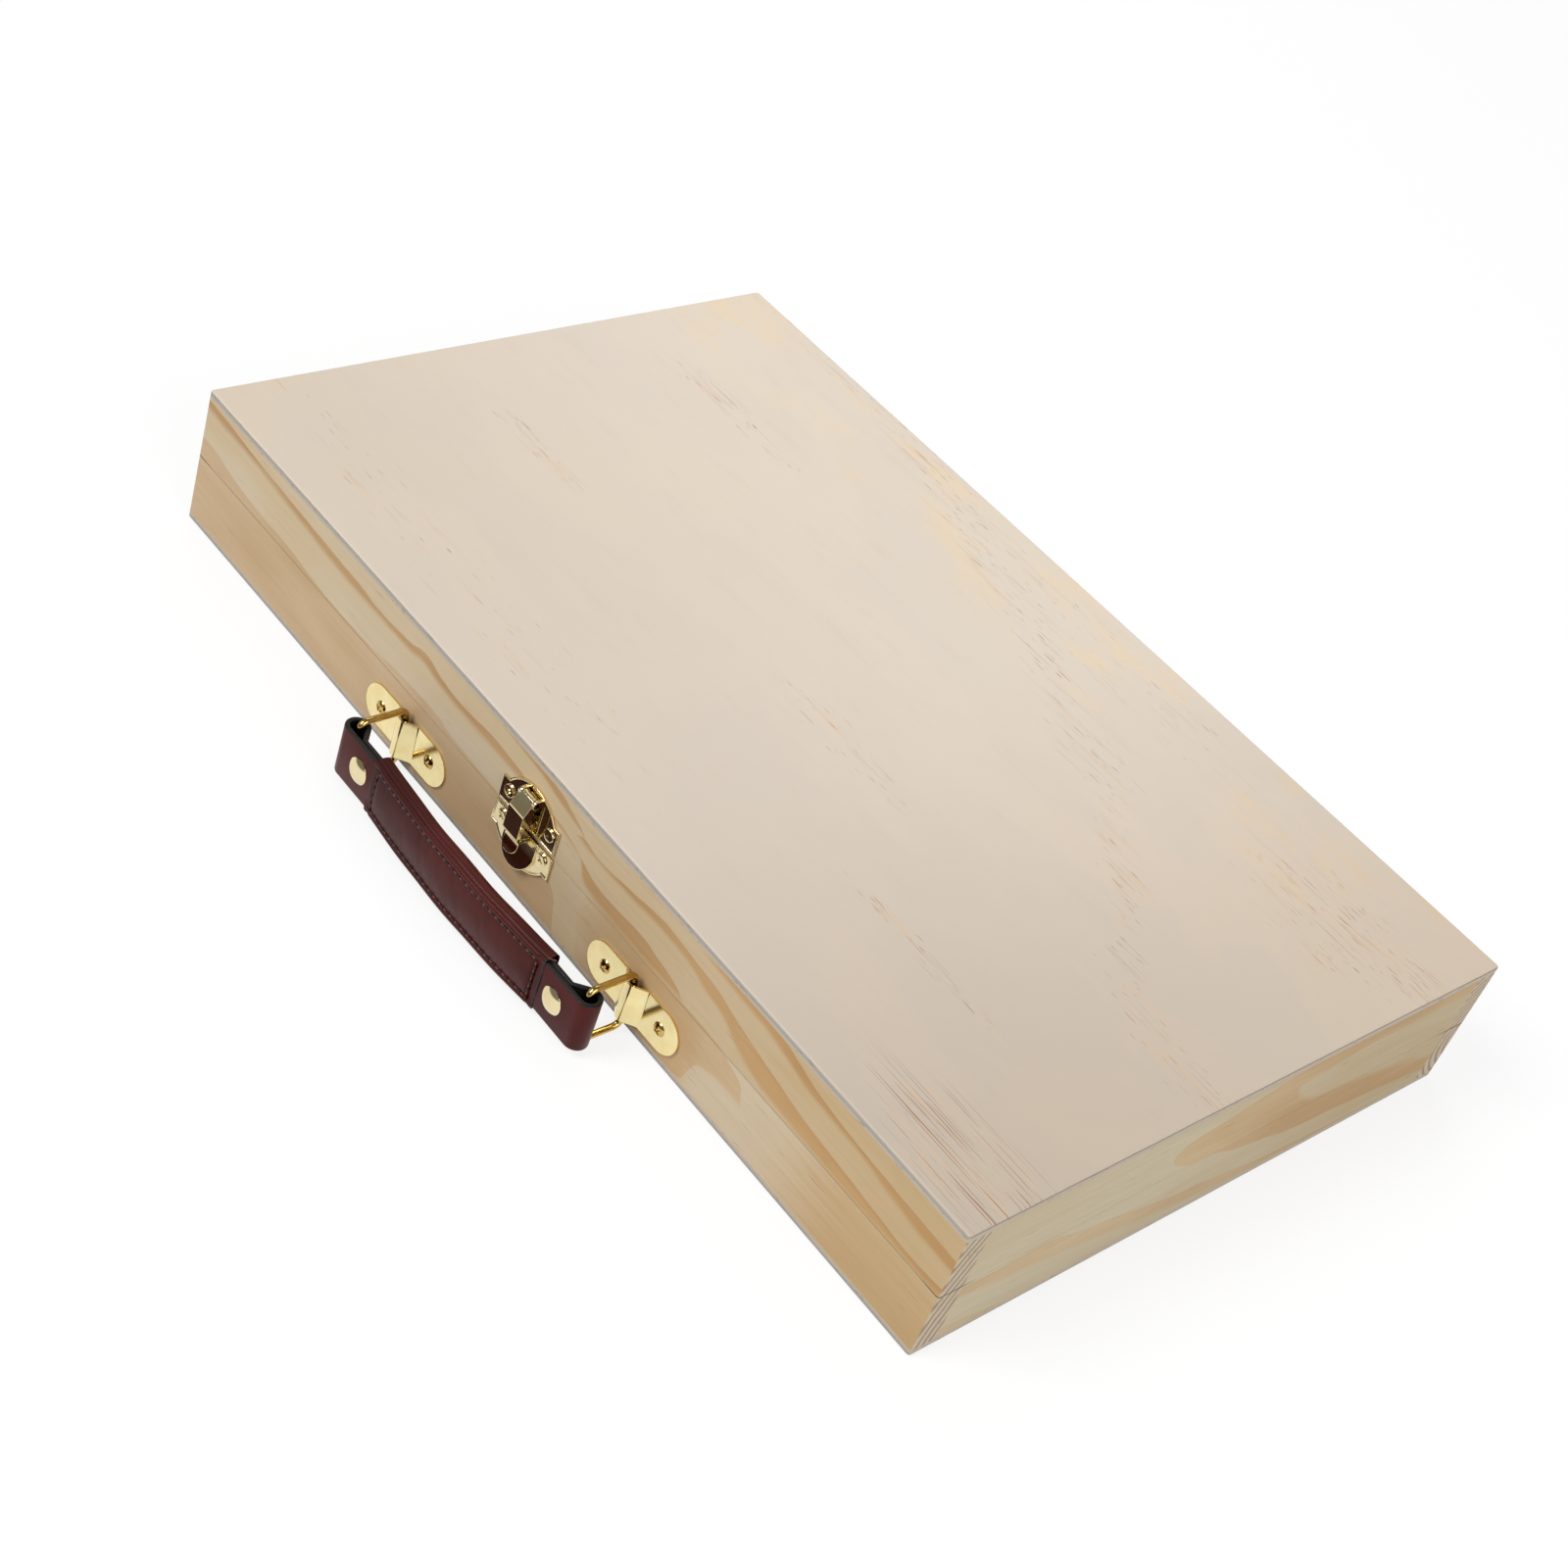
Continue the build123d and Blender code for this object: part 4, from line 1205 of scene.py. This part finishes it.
def makeStrap(name):
    size = strapSize
    strap = newPiece(
        name, bpy.ops.mesh.primitive_plane_add, size=size["width"], rotation=(0, pi / 2, 0),
        location=(0, size["frontY"] - size["bow"] + size["width"] / 2, handleZ),
    )
    # keep one upright edge of the plane, and draw the sheet from it
    pick(strap, "VERT", lambda c: c.y > size["frontY"] - size["bow"] + size["width"] / 2)
    bpy.ops.mesh.delete(type="VERT")
    pickAll(strap)
    sweep(size["bowSteps"], 2 * size["bow"] / size["tailX"], bowCentre, (0, 0, 1))
    done()
    endX = max(vertex.co.x for vertex in strap.data.vertices)
    endY = [vertex.co.y for vertex in strap.data.vertices if vertex.co.x > endX - near][0]
    pick(strap, "EDGE", lambda c: c.x > endX - near)
    push((size["loopX"] - endX) / 2, size["frontY"] - endY)
    push((size["loopX"] - endX) / 2)
    sweep(size["loopSteps"], radians(size["loopTurn"]), (size["loopX"], size["loopY"], 0), (0, 0, 1))
    # down the slope from the loop's end in two steps, then along the tail
    heading = radians(size["loopTurn"] - 90)
    slopeX = size["slopeEnd"][0] - size["loopX"] - size["loopRadius"] * cos(heading)
    slopeY = size["slopeEnd"][1] - size["loopY"] - size["loopRadius"] * sin(heading)
    for step in range(2):
        push(slopeX / 2, slopeY / 2)
    push(size["tailX"] - size["slopeEnd"][0])
    done()
    return strap


strap = makeStrap("strap_leather")
cleanNormals(strap)
faceForward(strap, strapSize["frontY"] + near)
modify(strap, "MIRROR", use_axis=(True, False, False), use_clip=True)
for material in (strapLeather, edgePaint):
    strap.data.materials.append(material)
modify(
    strap, "SOLIDIFY", thickness=strapSize["thickness"], offset=-1, material_offset=1, material_offset_rim=1,
)
ease(strap, strapSize["edgeRound"], 3, 60, material=1)
smooth(strap, 40)
dress(strap, "handle", "strap_leather")
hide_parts("handle_strap")
print("strap done:", len(strap.data.polygons), "faces")


# Rivets
rivetSize = {
    "x": 0.0497,
    "capRadius": 0.0043,
    "capHeight": 0.0019,
    "rimDepth": 0.0006,
    "rimRound": 0.0001,
    "backY": -0.1346,
    "backRadius": 0.0025,
    "backHeight": 0.0007,
    "shankRadius": 0.0013,
}


def makeRivet(name, x):
    # a domed cap on a short rim, a shank through the leather and a small dome behind
    size = rivetSize
    faceY, backY, lift = strapSize["frontY"], size["backY"], size["rimDepth"] / 2
    capPlace = (x, faceY - lift, handleZ)
    cap = makeDome(name + "_cap", capPlace, size["capRadius"], size["capHeight"] - lift, -1)
    rim = rod(name + "_rim", size["capRadius"], size["rimDepth"], (x, faceY, handleZ), 40)
    ease(rim, size["rimRound"], 2, 40)
    smooth(rim, 40)
    back = makeDome(name + "_back", (x, backY, handleZ), size["backRadius"], size["backHeight"], 1)
    shank = rod(name + "_shank", size["shankRadius"], backY - faceY, (x, (backY + faceY) / 2, handleZ), 24)
    return join(name, [cap, rim, back, shank])


for side, word in ((-1, "left"), (1, "right")):
    rivet = makeRivet(word + "_rivet", side * rivetSize["x"])
    dress(rivet, "handle", "brass", latchBrass)
    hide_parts(word + "_strap_rivet")
print("rivets done")


# Padded grip
gripSize = {
    "halfLength": 0.0435,
    "spineY": -0.1362,
    "steps": 96,
    "stitchZ": 0.0075,
    "stitchX": 0.0405,
    # what stands further than this in front of the spine belongs to the front panel
    "panelAhead": 0.0019,
    # where the end turns in, its edge keeps these shares along x, y and z, and is painted this far back
    "turnedIn": (1, 0.5, 0.88),
    "painted": 0.0004,
    # upper half of the wrap, front to back: (height from the middle, distance in front of the spine), mm
    "section": [
        (0.0, 2.5), (1.0, 2.5), (2.0, 2.48), (3.0, 2.45), (4.0, 2.4), (4.8, 2.35), (5.6, 2.29), (6.3, 2.22),
        (6.9, 2.14), (7.3, 2.06), (7.5, 2.04), (7.7, 2.1), (8.1, 2.28), (8.6, 2.4), (9.1, 2.36),
        (9.55, 2.12), (9.8, 1.78), (9.82, 1.42),
        (9.6, 1.12), (9.3, 0.95), (9.28, 0.75), (9.5, 0.5), (9.8, 0.1), (9.98, -0.5), (10.0, -1.3),
        (9.9, -2.1), (9.6, -2.8), (9.0, -3.3), (8.0, -3.55), (6.0, -3.6), (3.0, -3.6), (0.0, -3.6),
    ],
}


def makeGripHalf(name):
    # the wrap's section drawn along the bow, from the middle to the right end
    size = gripSize
    upper = size["section"]
    loop = upper + [(-z, d) for z, d in reversed(upper[1:-1])]
    middleY = size["spineY"] - strapSize["bow"]
    grip = drawn(name, [(0, middleY - d * mm, handleZ + z * mm) for z, d in loop], "NOTHING")
    pickAll(grip)
    turn = 2 * strapSize["bow"] / strapSize["tailX"] * (size["halfLength"] / strapSize["tailX"])
    sweep(size["steps"], turn, (0, middleY + bowRadius, 0), (0, 0, 1))
    done()
    endX = max(vertex.co.x for vertex in grip.data.vertices)
    for vertex in grip.data.vertices:
        vertex.co.x *= size["halfLength"] / endX
    # the front of the end turns in to meet the strap, so that the cut edge shows there
    pickAll(grip, "EDGE", "DESELECT")
    done()
    for edge in grip.data.edges:
        ends = [grip.data.vertices[v].co.x for v in edge.vertices]
        edge.select = min(ends) > size["halfLength"] - near
    bpy.ops.object.mode_set(mode="EDIT")
    push()
    endMiddle = (size["halfLength"], size["spineY"], handleZ)
    bpy.ops.transform.resize(value=size["turnedIn"], center_override=endMiddle)
    bpy.ops.mesh.edge_face_add()
    done()
    return grip


grip = makeGripHalf("grip_leather")
modify(grip, "MIRROR", use_axis=(True, False, False), use_clip=True)
cleanNormals(grip)

padSize = {
    "enlarge": 20,
    "frames": 20,
    "quality": 6,
    "mass": 0.3,
    "pressure": 2.7,
    "slack": -0.006,
    "stiffness": {"tension": 15, "compression": 15, "shear": 5, "bending": 3},
    # the panel that is free to move, and the most that it may keep of its move, metres
    "sewnX": 0.0401,
    "sewnZ": 0.0072,
    "most": 0.00062,
    # what has moved further than this is evened out so many times
    "loose": 0.00002,
    "even": 12,
}


def padGrip(piece):
    # blows the front panel up between its sewn rows as cloth; everything else stays pinned
    size = padSize
    start = [vertex.co.copy() for vertex in piece.data.vertices]
    sewn = piece.vertex_groups.new(name="sewn")
    for vertex in piece.data.vertices:
        x, y, z = vertex.co
        ahead = gripSize["spineY"] - y + bowY(x)
        inside = abs(x) < size["sewnX"] and abs(z - handleZ) < size["sewnZ"]
        free = inside and ahead > gripSize["panelAhead"]
        sewn.add([vertex.index], 0.0 if free else 1.0, "REPLACE")
    rescale(piece, size["enlarge"])
    cloth = piece.modifiers.new("cloth", "CLOTH")
    cloth.settings.quality = size["quality"]
    cloth.settings.mass = size["mass"]
    for kind, stiffness in size["stiffness"].items():
        setattr(cloth.settings, kind + "_stiffness", stiffness)
    cloth.settings.shrink_min = size["slack"]
    cloth.settings.use_pressure = True
    cloth.settings.uniform_pressure_force = size["pressure"]
    cloth.settings.effector_weights.gravity = 0
    cloth.settings.vertex_group_mass = sewn.name
    cloth.collision_settings.use_collision = False
    cloth.point_cache.frame_start = 1
    cloth.point_cache.frame_end = size["frames"]
    for step in range(1, size["frames"] + 1):
        bpy.context.scene.frame_set(step)
    bpy.ops.object.modifier_apply(modifier=cloth.name)
    bpy.context.scene.frame_set(1)
    rescale(piece, 1 / size["enlarge"])
    moves = []
    for vertex, was in zip(piece.data.vertices, start):
        move = vertex.co - was
        moves.append(move.length)
        if move.length > size["most"]:
            vertex.co = was + move * (size["most"] / move.length)
    piece.vertex_groups.clear()
    # leather this thick takes no fine creases
    pickAll(piece, "VERT", "DESELECT")
    done()
    for vertex, move in zip(piece.data.vertices, moves):
        vertex.select = move > size["loose"]
    bpy.ops.object.mode_set(mode="EDIT")
    bpy.ops.mesh.vertices_smooth(factor=0.5, repeat=size["even"])
    done()
    print("grip padding moved up to", round(max(moves) / mm, 2), "mm")


padGrip(grip)

# how the sewing pulls the leather in, metres: depth, then how far from its row that reaches
pullSize = {
    "endRow": (0.0007, 0.0009),
    "sideRow": (0.0001, 0.0012),
    "pitch": 0.003,
    "endFlap": 0.00025,
    "wave": 0.0001,
}


def shapeGrip(piece):
    # end rows of stitching, the pull of each stitch and the soft waves between them
    size = gripSize
    pull = pullSize
    endDepth, endReach = pull["endRow"]
    sideDepth, sideReach = pull["sideRow"]
    for vertex in piece.data.vertices:
        x, y, z = vertex.co
        up = z - handleZ
        ahead = size["spineY"] - y + bowY(x)
        if ahead > size["panelAhead"]:
            fromEnd = abs(abs(x) - size["stitchX"])
            fromSide = abs(abs(up) - size["stitchZ"])
            if abs(up) < size["stitchZ"] + 2 * near:
                vertex.co.y += endDepth * max(0.0, 1 - fromEnd / endReach)
            if abs(x) > size["stitchX"]:
                vertex.co.y += pull["endFlap"]
            if fromSide < sideReach and abs(x) < size["stitchX"]:
                stitch = 0.5 + 0.5 * cos(2 * pi * x / pull["pitch"])
                vertex.co.y += sideDepth * stitch * (1 - fromSide / sideReach)
        # faint waves along the back and sides
        vertex.co.y += pull["wave"] * sin(x * 190 + up * 160) * (1 if ahead < 0 else 0.3)
        vertex.co.z += pull["wave"] * sin(x * 260 + 1.3) * (up / 0.01)


shapeGrip(grip)
smooth(grip, 60)
dress(grip, "handle", "grip_leather", gripLeather, edgePaint)
for face in grip.data.polygons:
    if face.center.x > gripSize["halfLength"] - gripSize["painted"]:
        face.material_index = 1
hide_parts("handle_grip")
print("grip done:", len(grip.data.polygons), "faces")


# Stitches
stitchSize = {
    "pitch": 0.0028,
    # length and radius in metres, and distance in front of the spine in millimetres
    # dark beads that paint the shade in the stitch holes
    "holeShade": (0.0015, 0.00052, 2.12),
    "thread": (0.0015, 0.00026, 2.2),
    "endRadius": 0.0003,
    # loose ends: middle x, distance in front of the spine and height, mm; turns in degrees; length, mm
    "ends": [(44.1, -0.2, 10.0, (-28, 12), 2.6), (43.6, 0.8, 10.5, (-62, -20), 2.0)],
}


def makeBead(name, radius, length):
    # one stitch or end of thread, along x
    return newPiece(
        name, bpy.ops.mesh.primitive_uv_sphere_add, segments=8, ring_count=6, radius=radius,
        rotation=(0, pi / 2, 0), stretch=(1, 1, length / 2 / radius),
    )


def makeStitches(name, shape, shift):
    # one row round the panel; the threads are shifted by half a step against the painted hole shades between
    # them
    length, radius, ahead = shape
    rowX, rowZ = gripSize["stitchX"], gripSize["stitchZ"]
    model = makeBead("stitch_model", radius, length)
    spots = []
    count = round(2 * rowX / stitchSize["pitch"])
    for step in range(count):
        x = -rowX + (step + shift) * 2 * rowX / count
        spots += [(x, rowZ, 0), (x, -rowZ, 0)]
    count = round(2 * rowZ / stitchSize["pitch"])
    for step in range(count):
        up = -rowZ + (step + shift) * 2 * rowZ / count
        spots += [(rowX, up, pi / 2), (-rowX, up, pi / 2)]
    made = []
    for x, up, turn in spots:
        place = (x, gripSize["spineY"] + bowY(x) - ahead * mm, handleZ + up)
        made.append(copyOf(model, name + "_one", place, (0, turn, 0)))
    row = join(name, made)
    bpy.data.objects.remove(model)
    smooth(row, 80)
    return row


def makeThreadEnds(name):
    # two loose ends of the sewing thread at the grip's upper right corner
    ends = []
    for x, ahead, up, (tilt, swing), length in stitchSize["ends"]:
        model = makeBead(name + "_model", stitchSize["endRadius"], length * mm)
        place = (x * mm, gripSize["spineY"] - ahead * mm, handleZ + up * mm)
        ends.append(copyOf(model, name, place, (0, radians(tilt), radians(swing))))
        bpy.data.objects.remove(model)
    return join(name, ends)


# painted shade of the stitch holes, one bead between each pair of stitches
holeShades = makeStitches("grip_stitch_hole_shades", stitchSize["holeShade"], 0.0)
dress(holeShades, "handle", "grip_leather", stitchHoleShade)
threads = makeStitches("grip_stitches", stitchSize["thread"], 0.5)
threads = join("grip_stitches", [threads, makeThreadEnds("grip_thread_ends")])
dress(threads, "handle", "grip_leather", stitchThread)
print("stitches done")


# Floor, light and camera
white = (1, 1, 1, 1)
stageSize = {
    "floor": 8.0,
    # the floor lights the box from below less than the camera sees of it
    "floorLight": (0.5, 0.5, 0.5, 1),
    "floorSeen": (0.96, 0.96, 0.96, 1),
    "floorGlow": 0.8,
    "world": 0.4,
    # what shines sees white where it looks lower than the first height, -1 to 1, and a room this dark
    # where it looks higher than the second
    "roomHeights": (-0.02, 0.16),
    "room": 0.22,
    "lamps": {
        "lamp_top": {"place": (-0.75, 0.5, 1.05), "aim": (-0.1, 0.05, 0), "size": 0.8, "power": 3.0},
        "lamp_front": {"place": (-1.3, -3.1, 3.6), "aim": (0, 0, 0), "size": 2.3, "power": 146.0},
        "lamp_right": {"place": (1.7, -0.35, 1.0), "aim": (0, 0, 0), "size": 1.3, "power": 16.0},
    },
}
cameraSet = {
    "place": (0.39245, -0.53106, 0.52905),
    "turn": (49.365, -16.359, 50.461),
    "lens": 60.788,
    "sensor": 36,
}


def makeFloor():
    floor = newPiece("floor", bpy.ops.mesh.primitive_plane_add, size=stageSize["floor"])
    finish = Finish("floor_white")
    path = finish.node("ShaderNodeLightPath", out="Is Camera Ray")
    seen = path.most(path.other("Is Glossy Ray")).most(path.other("Is Transmission Ray"))
    plain = finish.node("ShaderNodeBsdfDiffuse", None, {"Color": stageSize["floorLight"]})
    bright = finish.node("ShaderNodeBsdfDiffuse", None, {"Color": stageSize["floorSeen"]})
    glow = finish.node("ShaderNodeEmission", None, {"Color": white, "Strength": 1.0})
    lit = finish.node("ShaderNodeMixShader", None, {0: seen, 1: plain, 2: bright})
    shader = finish.node("ShaderNodeMixShader", None, {0: seen * stageSize["floorGlow"], 1: lit, 2: glow})
    floor.data.materials.append(finish.close(shader))


def makeWorld():
    # even light; what shines sees white low down and a darker room overhead, and the camera sees white
    sky = Finish("studio", bpy.data.worlds)

    def light(strength):
        return sky.node("ShaderNodeBackground", None, {"Color": white, "Strength": strength})

    path = sky.node("ShaderNodeLightPath", out="Is Camera Ray")
    x, y, up = sky.axes(sky.node("ShaderNodeTexCoord", out="Generated"))
    room = light(up.between(*stageSize["roomHeights"], 1.0, stageSize["room"]))
    sockets = {0: path.other("Is Glossy Ray"), 1: light(stageSize["world"]), 2: room}
    shiny = sky.node("ShaderNodeMixShader", None, sockets)
    seen = sky.node("ShaderNodeMixShader", None, {0: path, 1: shiny, 2: light(1.0)})
    bpy.context.scene.world = sky.close(seen, "ShaderNodeOutputWorld")


def addLamp(name, place, aim, size, power):
    freshStart()
    bpy.ops.object.light_add(type="AREA", location=place)
    lamp = bpy.context.object
    lamp.name = name
    lamp.data.size = size
    lamp.data.energy = power
    lamp.rotation_euler = (Vector(aim) - Vector(place)).to_track_quat("-Z", "Y").to_euler()


def addCamera():
    freshStart()
    bpy.ops.object.camera_add(location=cameraSet["place"])
    camera = bpy.context.object
    camera.rotation_euler = [radians(angle) for angle in cameraSet["turn"]]
    camera.data.lens = cameraSet["lens"]
    camera.data.sensor_width = cameraSet["sensor"]
    bpy.context.scene.camera = camera


makeFloor()
makeWorld()
for name, lamp in stageSize["lamps"].items():
    addLamp(name, **lamp)
addCamera()
bpy.context.scene.view_settings.view_transform = "Standard"
